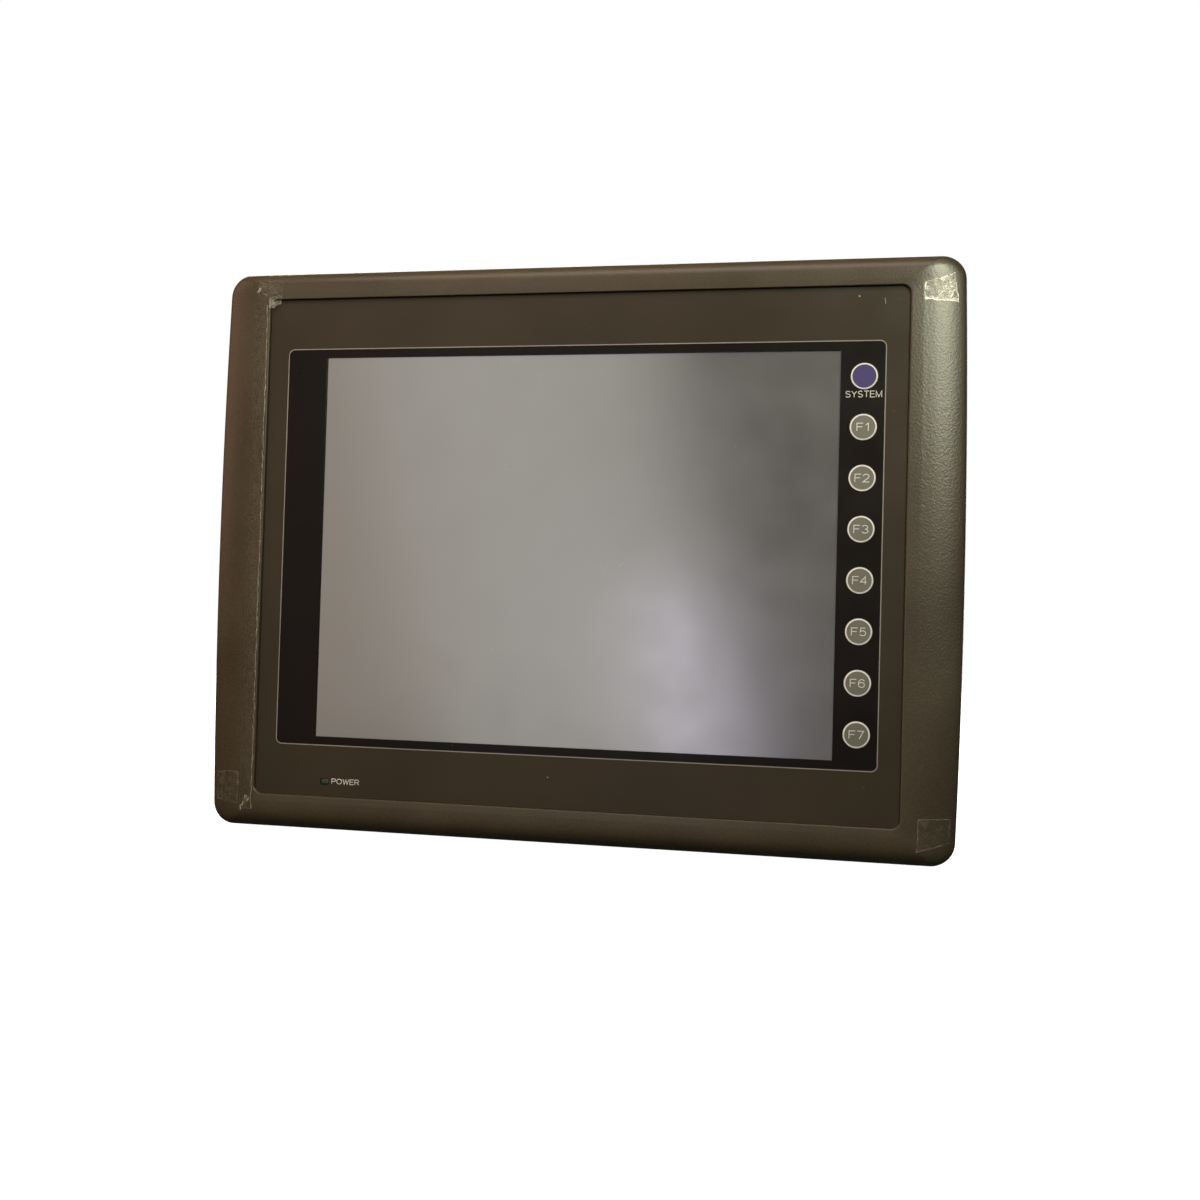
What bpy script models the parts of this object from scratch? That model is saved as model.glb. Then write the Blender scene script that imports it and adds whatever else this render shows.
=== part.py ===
"""Industrial operator panel with a resistive touch screen, built in metres with +Z up.

The front faces -Y. The origin is the centre of the panel cut-out, in the plane where the
sealing gasket meets the front of the cabinet door. Lengths below are in millimetres.
"""

import math

import bmesh
import bpy
from mathutils import Matrix, Vector

MM = 0.001
GAP = 0.3
ARC_STEPS = 5
SIDE_STEPS = 6
ROUND = 24

# Front bezel: half widths and half heights.
BEZEL_HALF = (151.5, 116.7)
BEZEL_SHIFT = (0.4, -1.1)
BEZEL_RADIUS = 9.0
SIDE_BOW = 1.8
RIM_Y = -0.8
INNER_EDGE_Y = -6.4
SKIRT_HALF = (143.6, 107.2)
SKIRT_INSIDE = (141.2, 104.8)
SKIRT_END_Y = 6.0
SLAB_BACK_Y = -1.7
FLOOR_Y = -4.2

# Overlay sheet and touch panel.
SHEET_HALF = (130.9, 103.5)
SHEET_Y = (-5.0, -4.5)
WINDOW_HALF = (105.6, 79.2)
TOUCH_HALF = (107.0, 80.6)
FILM_Y = (-4.2, -4.0)
TOUCH_GLASS_Y = (-3.7, -1.7)

# Function keys, from the top one down.
KEY_NAMES = ("key_system", "key_f1", "key_f2", "key_f3", "key_f4", "key_f5", "key_f6", "key_f7")
KEY_X = 114.5
KEY_TOP_Z = 68.95
KEY_PITCH = 19.7
KEY_RADIUS = 5.1
KEY_STEM_RADIUS = 2.5
KEY_STEM_END_Y = -3.8
KEY_BOARD_Y = (-3.1, -2.6)
KEY_BOARD_HALF = (5.3, 74.4)

LED_AT = (-100.5, -97.7)
LED_HALF = (1.7, 1.1)

# Liquid crystal module.
LCD_HALF = (121.5, 92.0)
LCD_LIP_Y = (-1.4, -0.6)
LCD_WINDOW_HALF = (106.6, 80.2)
LCD_GLASS_HALF = (113.0, 86.0)
LCD_GLASS_Y = (-0.3, 1.7)
GUIDE_HALF = (111.0, 84.0)
GUIDE_Y = (2.0, 7.5)
LAMP_RADIUS = 1.3
LCD_BACK_Y = 8.6
TRAY_THICK = 0.8

# Inner chassis and boards.
CHASSIS_Y = (8.9, 10.1)
CHASSIS_HALF = (139.6, 103.2)
INVERTER_BOX = (-118.0, -60.0, 40.0, 84.0)
INVERTER_Y = (14.0, 15.6)
POWER_BOX = (-118.0, -64.0, -84.0, 20.0)
MAIN_BOX = (-58.0, 118.0, -84.0, 84.0)
BOARD_Y = (30.0, 31.6)

# Rear cover.
COVER_FRONT_Y = SKIRT_END_Y + GAP
COVER_RIM_Y = 20.0
COVER_BACK_Y = 48.0
HUMP_HALF = (127.0, 91.0)
HUMP_WALL = 3.0
RIM_WALL = 2.5
BOSS_AT = (135.5, 99.2)
BOSS_RADIUS = 3.6
SCREW_RADIUS = 1.5
VENTS = 14
VENT_PITCH = 14.0
CLAMP_SLOT_X = 95.0
CLAMP_SLOT = (20.0, 10.5, 14.5)

# Doors in the cover, each hung from its upper edge.
DOOR_THICK = 2.0
HINGE_DEPTH = 1.5
BARREL_RADIUS = 1.5
STUB_RADIUS = 0.6
STUB_LENGTH = 1.6
TERMINAL_DOOR = (-92.0, -50.0, 40.0, 26.0)
BATTERY_DOOR = (-92.0, 62.0, 42.0, 22.0)
CARD_DOOR = (38.5, 58.0, 14.0, 52.0)

# Connectors on the back.
TERMINAL_X = -92.0
TERMINAL_Z = -63.0
TERMINAL_PITCH = 10.5
WIRE_EXIT = (32.0, 6.0)
SERIAL_AT = (-18.0, -66.0)
JACK_X = (36.0, 56.0)
JACK_Z = -66.0
DIP_AT = (92.0, -64.0)
DIP_PITCH = 2.54
DIP_LEVERS = 8
CARD_Z = 31.5
BATTERY_AT = (-92.0, 50.0)


def clear_scene():
    for item in list(bpy.data.objects):
        bpy.data.objects.remove(item, do_unlink=True)
    for group in list(bpy.data.collections):
        bpy.data.collections.remove(group)


clear_scene()
PARTS = bpy.data.collections.new("hmi_touch_panel")
CUTTERS = bpy.data.collections.new("cutters")
CUTTERS.hide_render = True
bpy.context.scene.collection.children.link(PARTS)
bpy.context.scene.collection.children.link(CUTTERS)


def material(name, colour, roughness, metallic=0.0, alpha=1.0):
    made = bpy.data.materials.new(name)
    made.use_nodes = True
    shader = made.node_tree.nodes["Principled BSDF"]
    shader.inputs["Base Color"].default_value = (*colour, 1.0)
    shader.inputs["Roughness"].default_value = roughness
    shader.inputs["Metallic"].default_value = metallic
    shader.inputs["Alpha"].default_value = alpha
    made.diffuse_color = (*colour, alpha)
    return made


def add_mesh(name, bm, surface, origin=(0.0, 0.0, 0.0), smooth=False):
    """Turns a bmesh drawn in millimetres into an object whose origin is at the given point."""
    bmesh.ops.translate(bm, verts=bm.verts, vec=-Vector(origin))
    bmesh.ops.scale(bm, verts=bm.verts, vec=(MM, MM, MM))
    bmesh.ops.recalc_face_normals(bm, faces=bm.faces)
    mesh = bpy.data.meshes.new(name)
    bm.to_mesh(mesh)
    bm.free()
    for face in mesh.polygons:
        face.use_smooth = smooth
    item = bpy.data.objects.new(name, mesh)
    item.location = Vector(origin) * MM
    if surface is None:
        CUTTERS.objects.link(item)
        item.hide_render = True
        item.display_type = "WIRE"
    else:
        mesh.materials.append(surface)
        PARTS.objects.link(item)
    return item


def boolean(item, tool, operation):
    step = item.modifiers.new(tool.name, "BOOLEAN")
    step.object = tool
    step.operation = operation
    step.solver = "EXACT"
    step.use_self = True


def box(bm, xs, ys, zs):
    """Adds a box that spans the given ranges."""
    centre = Vector((sum(xs) / 2, sum(ys) / 2, sum(zs) / 2))
    size = Vector((xs[1] - xs[0], ys[1] - ys[0], zs[1] - zs[0]))
    place = Matrix.Translation(centre) @ Matrix.Diagonal((*size, 1.0))
    bmesh.ops.create_cube(bm, size=1.0, matrix=place)


def box_at(bm, centre, size, ys):
    """Adds a box centred on (x, z) with a width and a height."""
    xs = (centre[0] - size[0] / 2, centre[0] + size[0] / 2)
    zs = (centre[1] - size[1] / 2, centre[1] + size[1] / 2)
    box(bm, xs, ys, zs)


def rod(bm, start, end, radius, steps=ROUND):
    """Adds a round bar between two points."""
    start = Vector(start)
    along = Vector(end) - start
    turn = along.to_track_quat("Z", "Y").to_matrix().to_4x4()
    place = Matrix.Translation(start + along / 2) @ turn
    bmesh.ops.create_cone(
        bm,
        cap_ends=True,
        segments=steps,
        radius1=radius,
        radius2=radius,
        depth=along.length,
        matrix=place,
    )


def ring(half, radius, y_side, y_top=None, bow=0.0, shift=(0.0, 0.0)):
    """A rounded rectangle whose sides and ends can lie at different depths, with bowed sides."""
    y_top = y_side if y_top is None else y_top
    hx, hz = half
    points = []
    for corner in range(4):
        right = corner in (0, 3)
        top = corner in (0, 1)
        cx = (hx - radius) * (1 if right else -1)
        cz = (hz - radius) * (1 if top else -1)
        for step in range(ARC_STEPS + 1):
            angle = math.radians(90 * corner + 90 * step / ARC_STEPS)
            share = step / ARC_STEPS if corner in (0, 2) else 1 - step / ARC_STEPS
            blend = share * share * (3 - 2 * share)
            points.append(
                (
                    cx + radius * math.cos(angle),
                    y_side + (y_top - y_side) * blend,
                    cz + radius * math.sin(angle),
                )
            )
        if corner in (1, 3):
            for step in range(1, SIDE_STEPS):
                z = cz - 2 * cz * step / SIDE_STEPS
                points.append((cx + math.copysign(radius, cx), y_side, z))
    bowed = [(x + bow * x / hx * (1 - (z / hz) ** 2), y, z) for x, y, z in points]
    return [(x + shift[0], y, z + shift[1]) for x, y, z in bowed]


def circle(centre, radius, y, steps=ROUND):
    return [
        (
            centre[0] + radius * math.cos(2 * math.pi * step / steps),
            y,
            centre[1] + radius * math.sin(2 * math.pi * step / steps),
        )
        for step in range(steps)
    ]


def skin(rings, loop=False):
    """Joins rings of equal count into a closed shell: a tube with capped ends, or an endless loop."""
    bm = bmesh.new()
    rows = [[bm.verts.new(point) for point in row] for row in rings]
    pairs = list(zip(rows, rows[1:]))
    if loop:
        pairs.append((rows[-1], rows[0]))
    else:
        bm.faces.new(rows[0])
        bm.faces.new(rows[-1])
    for near, far in pairs:
        for index in range(len(near)):
            after = (index + 1) % len(near)
            bm.faces.new((near[index], near[after], far[after], far[index]))
    return bm


def prism(outline, place):
    """A flat outline drawn in (u, v), swept between two positions by the function that places it."""
    return skin([[place(u, v, end) for u, v in outline] for end in (0, 1)])


def plate(name, outlines, ys, surface):
    """A flat sheet in the XZ plane with the holes that its inner outlines draw."""
    curve = bpy.data.curves.new(name, "CURVE")
    curve.dimensions = "2D"
    curve.fill_mode = "BOTH"
    curve.extrude = (ys[1] - ys[0]) / 2 * MM
    for outline in outlines:
        spline = curve.splines.new("POLY")
        spline.points.add(len(outline) - 1)
        for point, (x, z) in zip(spline.points, outline):
            point.co = (x * MM, z * MM, 0.0, 1.0)
        spline.use_cyclic_u = True
    drawn = bpy.data.objects.new(name + "_outline", curve)
    CUTTERS.objects.link(drawn)
    mesh = bpy.data.meshes.new_from_object(drawn)
    bpy.data.objects.remove(drawn, do_unlink=True)
    bm = bmesh.new()
    bm.from_mesh(mesh)
    bpy.data.meshes.remove(mesh)
    bmesh.ops.scale(bm, verts=bm.verts, vec=(1 / MM, 1 / MM, 1 / MM))
    bmesh.ops.remove_doubles(bm, verts=bm.verts, dist=0.005)
    bmesh.ops.rotate(bm, verts=bm.verts, matrix=Matrix.Rotation(math.radians(90), 3, "X"))
    bmesh.ops.translate(bm, verts=bm.verts, vec=(0.0, sum(ys) / 2, 0.0))
    return add_mesh(name, bm, surface)


def flat_ring(half, radius):
    return [(x, z) for x, _, z in ring(half, radius, 0.0)]


def rectangle(centre, size):
    hx = size[0] / 2
    hz = size[1] / 2
    corners = ((-hx, -hz), (hx, -hz), (hx, hz), (-hx, hz))
    return [(centre[0] + x, centre[1] + z) for x, z in corners]


def disc_outline(centre, radius):
    return [(x, z) for x, _, z in circle(centre, radius, 0.0)]


def four_corners(half):
    return [(x, z) for x in (-half[0], half[0]) for z in (-half[1], half[1])]


OLIVE = material("bezel_olive_plastic", (0.085, 0.073, 0.047), 0.45)
SHEET = material("overlay_sheet_film", (0.040, 0.031, 0.020), 0.4)
FILM = material("touch_film_polyester", (0.25, 0.235, 0.22), 0.3, alpha=0.6)
TOUCH_GLASS = material("touch_glass_clear", (0.55, 0.58, 0.56), 0.05, alpha=0.35)
KEY_GREY = material("key_grey_film", (0.19, 0.20, 0.15), 0.4)
KEY_VIOLET = material("key_violet_film", (0.085, 0.07, 0.19), 0.4)
KEY_BOARD = material("key_membrane_board", (0.30, 0.26, 0.16), 0.5)
LED_GREEN = material("led_lens_green", (0.02, 0.06, 0.03), 0.2)
GASKET = material("gasket_black_rubber", (0.012, 0.012, 0.012), 0.8)
LCD_STEEL = material("lcd_frame_steel", (0.50, 0.50, 0.48), 0.35, 1.0)
LCD_GLASS = material("lcd_cell_glass", (0.20, 0.20, 0.19), 0.2)
GUIDE = material("light_guide_acrylic", (0.80, 0.82, 0.80), 0.3, alpha=0.8)
LAMP = material("lamp_white_glass", (0.85, 0.85, 0.80), 0.25)
TRAY = material("lcd_tray_aluminium", (0.60, 0.60, 0.60), 0.4, 1.0)
CHASSIS = material("chassis_zinc_steel", (0.46, 0.47, 0.46), 0.45, 1.0)
INVERTER = material("inverter_board_green", (0.03, 0.12, 0.06), 0.5)
POWER = material("power_board_green", (0.03, 0.12, 0.06), 0.5)
MAIN = material("main_board_green", (0.02, 0.10, 0.05), 0.5)
CABLE = material("ribbon_cable_grey", (0.45, 0.45, 0.44), 0.6)
COVER = material("rear_cover_dark_plastic", (0.035, 0.033, 0.028), 0.55)
SCREW = material("screw_zinc_steel", (0.55, 0.54, 0.50), 0.35, 1.0)
TERMINAL = material("terminal_black_plastic", (0.02, 0.02, 0.02), 0.5)
DOOR = material("door_dark_plastic", (0.035, 0.033, 0.028), 0.55)
SERIAL = material("serial_shell_steel", (0.55, 0.54, 0.50), 0.35, 1.0)
JACK = material("jack_black_plastic", (0.02, 0.02, 0.02), 0.45)
BATTERY = material("battery_sleeve", (0.35, 0.10, 0.06), 0.45)
CARD = material("card_socket_plastic", (0.03, 0.03, 0.03), 0.5)
DIP = material("dip_body_blue", (0.03, 0.08, 0.30), 0.5)
LEVER = material("dip_lever_white", (0.80, 0.80, 0.78), 0.5)


def key_points():
    return [(KEY_X, KEY_TOP_Z - KEY_PITCH * index) for index in range(len(KEY_NAMES))]


def front_bezel():
    """One moulding: a recessed floor for the sheet, a convex band round it, a flange with a
    gasket groove and a skirt that passes through the cut-out."""
    hx, hz = BEZEL_HALF
    profile = (
        # inset of the sides, inset of the ends, corner radius, depth at sides, depth at ends
        (20.1, 12.7, 3.5, -6.1, -6.0),
        (19.6, 12.2, 3.9, INNER_EDGE_Y, -6.2),
        (15.3, 10.0, 5.0, -6.12, -6.3),
        (11.3, 7.4, 6.0, -5.65, -6.25),
        (7.8, 5.0, 7.0, -5.0, -6.0),
        (4.7, 3.2, 7.6, -4.2, -5.4),
        (2.0, 1.5, 8.3, -3.25, -4.3),
        (0.4, 0.3, 8.9, -2.4, -2.8),
        (0.0, 0.0, BEZEL_RADIUS, -1.6, -1.6),
    )
    opening = (TOUCH_HALF[0] + 0.4, TOUCH_HALF[1] + 0.4)
    recess = (SHEET_HALF[0] + 0.4, SHEET_HALF[1] + 0.4)
    rings = [
        ring(opening, 1.0, FLOOR_Y),
        ring(recess, 3.4, FLOOR_Y),
        ring(recess, 3.4, -5.5),
    ]
    for side, end, radius, y_side, y_end in profile:
        fade = max(0.0, 1 - side / 20)
        shift = (BEZEL_SHIFT[0] * fade, BEZEL_SHIFT[1] * fade)
        size = (hx - side, hz - end)
        rings.append(ring(size, radius, y_side, y_end, SIDE_BOW * fade, shift))
    rings += [
        ring((hx, hz), BEZEL_RADIUS, RIM_Y, bow=SIDE_BOW, shift=BEZEL_SHIFT),
        ring((149.9, 114.1), 7.6, RIM_Y),
        ring((149.9, 114.1), 7.6, -2.3),
        ring((145.9, 110.1), 4.6, -2.3),
        ring((145.9, 110.1), 4.6, RIM_Y),
        ring(SKIRT_HALF, 4.0, RIM_Y),
        ring(SKIRT_HALF, 4.0, SKIRT_END_Y),
        ring(SKIRT_INSIDE, 2.6, SKIRT_END_Y),
        ring(SKIRT_INSIDE, 2.6, SLAB_BACK_Y),
        ring(opening, 1.0, SLAB_BACK_Y),
    ]
    bezel = add_mesh("front_bezel", skin(rings, loop=True), OLIVE)
    bosses = bmesh.new()
    pilots = bmesh.new()
    boss_end = COVER_RIM_Y - RIM_WALL - GAP
    for x, z in four_corners(BOSS_AT):
        rod(bosses, (x, SLAB_BACK_Y - 1.0, z), (x, boss_end, z), BOSS_RADIUS)
        rod(pilots, (x, boss_end - 9.0, z), (x, boss_end + 1.0, z), SCREW_RADIUS + GAP)
    pocket_x = (KEY_X - KEY_BOARD_HALF[0] - 0.4, KEY_X + KEY_BOARD_HALF[0] + 0.4)
    pocket_z = (-KEY_BOARD_HALF[1] - 0.4, KEY_BOARD_HALF[1] + 0.4)
    box(pilots, pocket_x, (FLOOR_Y - 1.0, KEY_BOARD_Y[1] + GAP), pocket_z)
    led_size = (2 * LED_HALF[0] + 2 * GAP, 2 * LED_HALF[1] + 2 * GAP)
    box_at(pilots, LED_AT, led_size, (FLOOR_Y - 1.0, SLAB_BACK_Y + 1.0))
    boolean(bezel, add_mesh("bezel_bosses", bosses, None), "UNION")
    boolean(bezel, add_mesh("bezel_hollows", pilots, None), "DIFFERENCE")


def overlay_sheet():
    holes = [disc_outline(point, KEY_RADIUS + GAP) for point in key_points()]
    led = rectangle(LED_AT, (2 * LED_HALF[0] + 2 * GAP, 2 * LED_HALF[1] + 2 * GAP))
    window = rectangle((0.0, 0.0), (2 * WINDOW_HALF[0], 2 * WINDOW_HALF[1]))
    plate("overlay_sheet", [flat_ring(SHEET_HALF, 3.0), window, led, *holes], SHEET_Y, SHEET)


def touch_panel():
    size = (2 * TOUCH_HALF[0], 2 * TOUCH_HALF[1])
    film = bmesh.new()
    box_at(film, (0.0, 0.0), size, FILM_Y)
    add_mesh("touch_film", film, FILM)
    glass = bmesh.new()
    box_at(glass, (0.0, 0.0), size, TOUCH_GLASS_Y)
    add_mesh("touch_glass", glass, TOUCH_GLASS)


def function_keys():
    """Each key is a stiff disc level with the sheet, with a short stem over its contact."""
    for name, point in zip(KEY_NAMES, key_points()):
        rings = [
            circle(point, KEY_RADIUS - 0.25, SHEET_Y[0] - 0.05),
            circle(point, KEY_RADIUS, SHEET_Y[0] + 0.1),
            circle(point, KEY_RADIUS, SHEET_Y[1]),
            circle(point, KEY_STEM_RADIUS, SHEET_Y[1]),
            circle(point, KEY_STEM_RADIUS, KEY_STEM_END_Y),
        ]
        surface = KEY_VIOLET if name == "key_system" else KEY_GREY
        add_mesh(name, skin(rings), surface, (point[0], SHEET_Y[0], point[1]))
    board = bmesh.new()
    size = (2 * KEY_BOARD_HALF[0], 2 * KEY_BOARD_HALF[1])
    box_at(board, (KEY_X, 0.0), size, KEY_BOARD_Y)
    add_mesh("key_contact_board", board, KEY_BOARD)


def power_led():
    lens = bmesh.new()
    size = (2 * LED_HALF[0], 2 * LED_HALF[1])
    box_at(lens, LED_AT, size, (SHEET_Y[0], SLAB_BACK_Y - 0.2))
    add_mesh("power_led", lens, LED_GREEN)


def panel_gasket():
    outlines = [flat_ring((149.6, 113.8), 7.3), flat_ring((146.2, 110.4), 4.9)]
    plate("panel_gasket", outlines, (-2.0, 0.0), GASKET)


def lcd_module():
    wall = 0.8
    inside = (LCD_HALF[0] - wall, LCD_HALF[1] - wall)
    rings = [
        ring(LCD_WINDOW_HALF, 0.5, LCD_LIP_Y[0]),
        ring(LCD_HALF, 1.6, LCD_LIP_Y[0]),
        ring(LCD_HALF, 1.6, LCD_BACK_Y),
        ring(inside, 0.9, LCD_BACK_Y),
        ring(inside, 0.9, LCD_LIP_Y[1]),
        ring(LCD_WINDOW_HALF, 0.5, LCD_LIP_Y[1]),
    ]
    add_mesh("lcd_front_frame", skin(rings, loop=True), LCD_STEEL)
    cell = bmesh.new()
    box_at(cell, (0.0, 0.0), (2 * LCD_GLASS_HALF[0], 2 * LCD_GLASS_HALF[1]), LCD_GLASS_Y)
    add_mesh("lcd_cell", cell, LCD_GLASS)
    guide = bmesh.new()
    box_at(guide, (0.0, 0.0), (2 * GUIDE_HALF[0], 2 * GUIDE_HALF[1]), GUIDE_Y)
    add_mesh("light_guide", guide, GUIDE)
    lamp_y = sum(GUIDE_Y) / 2
    lamp_z = GUIDE_HALF[1] + GAP + LAMP_RADIUS
    for name, z in (("backlight_lamp_top", lamp_z), ("backlight_lamp_bottom", -lamp_z)):
        lamp = bmesh.new()
        rod(lamp, (-108.0, lamp_y, z), (108.0, lamp_y, z), LAMP_RADIUS, 16)
        add_mesh(name, lamp, LAMP, smooth=True)
    tray = bmesh.new()
    size = (2 * inside[0] - 2 * GAP, 2 * inside[1] - 2 * GAP)
    box_at(tray, (0.0, 0.0), size, (LCD_BACK_Y - TRAY_THICK, LCD_BACK_Y))
    add_mesh("lcd_rear_tray", tray, TRAY)


def standoff_points():
    main = [(x, z) for x in (-52.0, 112.0) for z in (-78.0, 78.0)]
    power = [(x, z) for x in (-112.0, -70.0) for z in (-36.0, 14.0)]
    return main + power


def chassis_plate():
    """Zinc plated carrier located by the four bosses, with standoffs for the boards."""
    holes = [disc_outline(point, BOSS_RADIUS + GAP) for point in four_corners(BOSS_AT)]
    slot = rectangle((35.0, -58.0), (40.0, 12.0))
    outline = flat_ring(CHASSIS_HALF, 2.0)
    chassis = plate("chassis_plate", [outline, slot, *holes], CHASSIS_Y, CHASSIS)
    posts = bmesh.new()
    foot_y = CHASSIS_Y[1] - 0.4
    for x, z in standoff_points():
        rod(posts, (x, foot_y, z), (x, BOARD_Y[0] - GAP, z), 3.0, 12)
    for x in (INVERTER_BOX[0] + 5.0, INVERTER_BOX[1] - 5.0):
        for z in (INVERTER_BOX[2] + 5.0, INVERTER_BOX[3] - 5.0):
            rod(posts, (x, foot_y, z), (x, INVERTER_Y[0] - GAP, z), 3.0, 12)
    boolean(chassis, add_mesh("chassis_posts", posts, None), "UNION")


def board(name, extent, ys, surface, blocks, cans):
    """A printed circuit board with its larger components standing on the rear face."""
    bm = bmesh.new()
    box(bm, extent[0:2], ys, extent[2:4])
    item = add_mesh(name, bm, surface)
    lumps = bmesh.new()
    for x, z, width, height, tall in blocks:
        box_at(lumps, (x, z), (width, height), (ys[1] - 0.4, ys[1] + tall))
    for x, z, radius, tall in cans:
        rod(lumps, (x, ys[1] - 0.4, z), (x, ys[1] + tall, z), radius, 16)
    boolean(item, add_mesh(name + "_components", lumps, None), "UNION")


def circuit_boards():
    board(
        "inverter_board",
        INVERTER_BOX,
        INVERTER_Y,
        INVERTER,
        ((-100.0, 68.0, 16.0, 14.0, 6.0), (-76.0, 68.0, 16.0, 14.0, 6.0), (-98.0, 51.0, 12.0, 8.0, 3.0)),
        ((-76.0, 51.0, 4.0, 8.0),),
    )
    board(
        "power_board",
        POWER_BOX,
        BOARD_Y,
        POWER,
        ((-92.0, -10.0, 22.0, 20.0, 11.0), (-74.0, -34.0, 12.0, 10.0, 8.0)),
        ((-108.0, -30.0, 5.0, 12.0), (-96.0, -34.0, 4.0, 10.0), (-74.0, 6.0, 4.0, 10.0)),
    )
    board(
        "main_board",
        MAIN_BOX,
        BOARD_Y,
        MAIN,
        (
            (10.0, 20.0, 28.0, 28.0, 3.0),
            (-28.0, 24.0, 14.0, 22.0, 2.0),
            (-28.0, -6.0, 14.0, 22.0, 2.0),
            (12.0, -18.0, 20.0, 12.0, 2.0),
            (52.0, -18.0, 22.0, 14.0, 2.5),
            (12.0, 56.0, 40.0, 8.0, 6.0),
        ),
        ((-46.0, 52.0, 4.0, 8.0), (52.0, 66.0, 3.0, 6.0)),
    )


def lcd_cable():
    """Flat ribbon from the display to the main board, with one slack fold."""
    path = ((8.9, -58.0), (14.0, -58.0), (20.0, -55.0), (25.0, -58.0), (29.7, -58.0))
    half = 0.2
    outline = [(y, z - half) for y, z in path] + [(y, z + half) for y, z in reversed(path)]
    bm = prism(outline, lambda y, z, end: (20.0 + 30.0 * end, y, z))
    add_mesh("lcd_cable", bm, CABLE)


def hinge_bore(bm, door, axis_depth):
    """Room for a back door and for its hinge stubs, through the back wall."""
    x, z, width, height = door
    top = z + BARREL_RADIUS + GAP
    low = z - height - GAP
    half = width / 2 + GAP
    box(bm, (x - half, x + half), (COVER_BACK_Y - HUMP_WALL - 1.0, COVER_BACK_Y + 1.0), (low, top))
    reach = width / 2 + STUB_LENGTH + 2 * GAP
    rod(bm, (x - reach, axis_depth, z), (x + reach, axis_depth, z), STUB_RADIUS + GAP, 16)


def cover_hollows():
    bm = bmesh.new()
    back = (COVER_BACK_Y - HUMP_WALL - 1.0, COVER_BACK_Y + 1.0)
    axis_y = COVER_BACK_Y - HINGE_DEPTH
    hinge_bore(bm, TERMINAL_DOOR, axis_y)
    exit_z = TERMINAL_DOOR[1] - TERMINAL_DOOR[3] - WIRE_EXIT[1] / 2 + 0.5
    box_at(bm, (TERMINAL_DOOR[0], exit_z), WIRE_EXIT, back)
    box_at(bm, SERIAL_AT, (39.6, 9.6), back)
    for side in (-1, 1):
        x = SERIAL_AT[0] + side * 23.5
        rod(bm, (x, back[0], SERIAL_AT[1]), (x, back[1], SERIAL_AT[1]), 1.8, 16)
    for x in JACK_X:
        box_at(bm, (x, JACK_Z), (16.6, 14.6), back)
    box_at(bm, DIP_AT, (26.0, 13.0), back)
    for x, z in four_corners(BOSS_AT):
        rod(bm, (x, COVER_RIM_Y - RIM_WALL - 1, z), (x, COVER_RIM_Y + 1, z), SCREW_RADIUS + GAP, 16)
    for side in (-1, 1):
        inner = side * (HUMP_HALF[1] - HUMP_WALL - 1.0)
        outer = side * (HUMP_HALF[1] + 1.0)
        for index in range(VENTS):
            x = (index - (VENTS - 1) / 2) * VENT_PITCH
            box(bm, (x - 1.6, x + 1.6), (25.0, 41.0), sorted((inner, outer)))
        for x in (-CLAMP_SLOT_X, CLAMP_SLOT_X):
            inner = side * (SKIRT_INSIDE[1] - 1.0)
            outer = side * (SKIRT_HALF[1] + 1.0)
            half = CLAMP_SLOT[0] / 2
            box(bm, (x - half, x + half), CLAMP_SLOT[1:3], sorted((inner, outer)))
    y, z, width, height = CARD_DOOR
    wall = (HUMP_HALF[0] - HUMP_WALL - 1.0, HUMP_HALF[0] + 1.0)
    half = width / 2 + GAP
    box(bm, wall, (y - half, y + half), (z - height - GAP, z + BARREL_RADIUS + GAP))
    reach = width / 2 + STUB_LENGTH + 2 * GAP
    axis_x = HUMP_HALF[0] - HINGE_DEPTH
    rod(bm, (axis_x, y - reach, z), (axis_x, y + reach, z), STUB_RADIUS + GAP, 16)
    return add_mesh("cover_hollows", bm, None)


def battery_well(cover):
    """A closed cup moulded into the back wall holds the battery under its own door."""
    x, z, width, height = BATTERY_DOOR
    floor_y = COVER_BACK_Y - 20.0
    centre = (x, z - height / 2 + 0.6)
    cup = bmesh.new()
    box_at(cup, centre, (width + 6.0, height + 7.0), (floor_y - 2.0, COVER_BACK_Y - HUMP_WALL + 0.5))
    boolean(cover, add_mesh("battery_cup", cup, None), "UNION")
    hollow = bmesh.new()
    box_at(hollow, centre, (width - 2.0, height - 2.0), (floor_y, COVER_BACK_Y - 1.0))
    boolean(cover, add_mesh("battery_hollow", hollow, None), "DIFFERENCE")
    mouth = bmesh.new()
    hinge_bore(mouth, BATTERY_DOOR, COVER_BACK_Y - HINGE_DEPTH)
    boolean(cover, add_mesh("battery_mouth", mouth, None), "DIFFERENCE")


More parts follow.
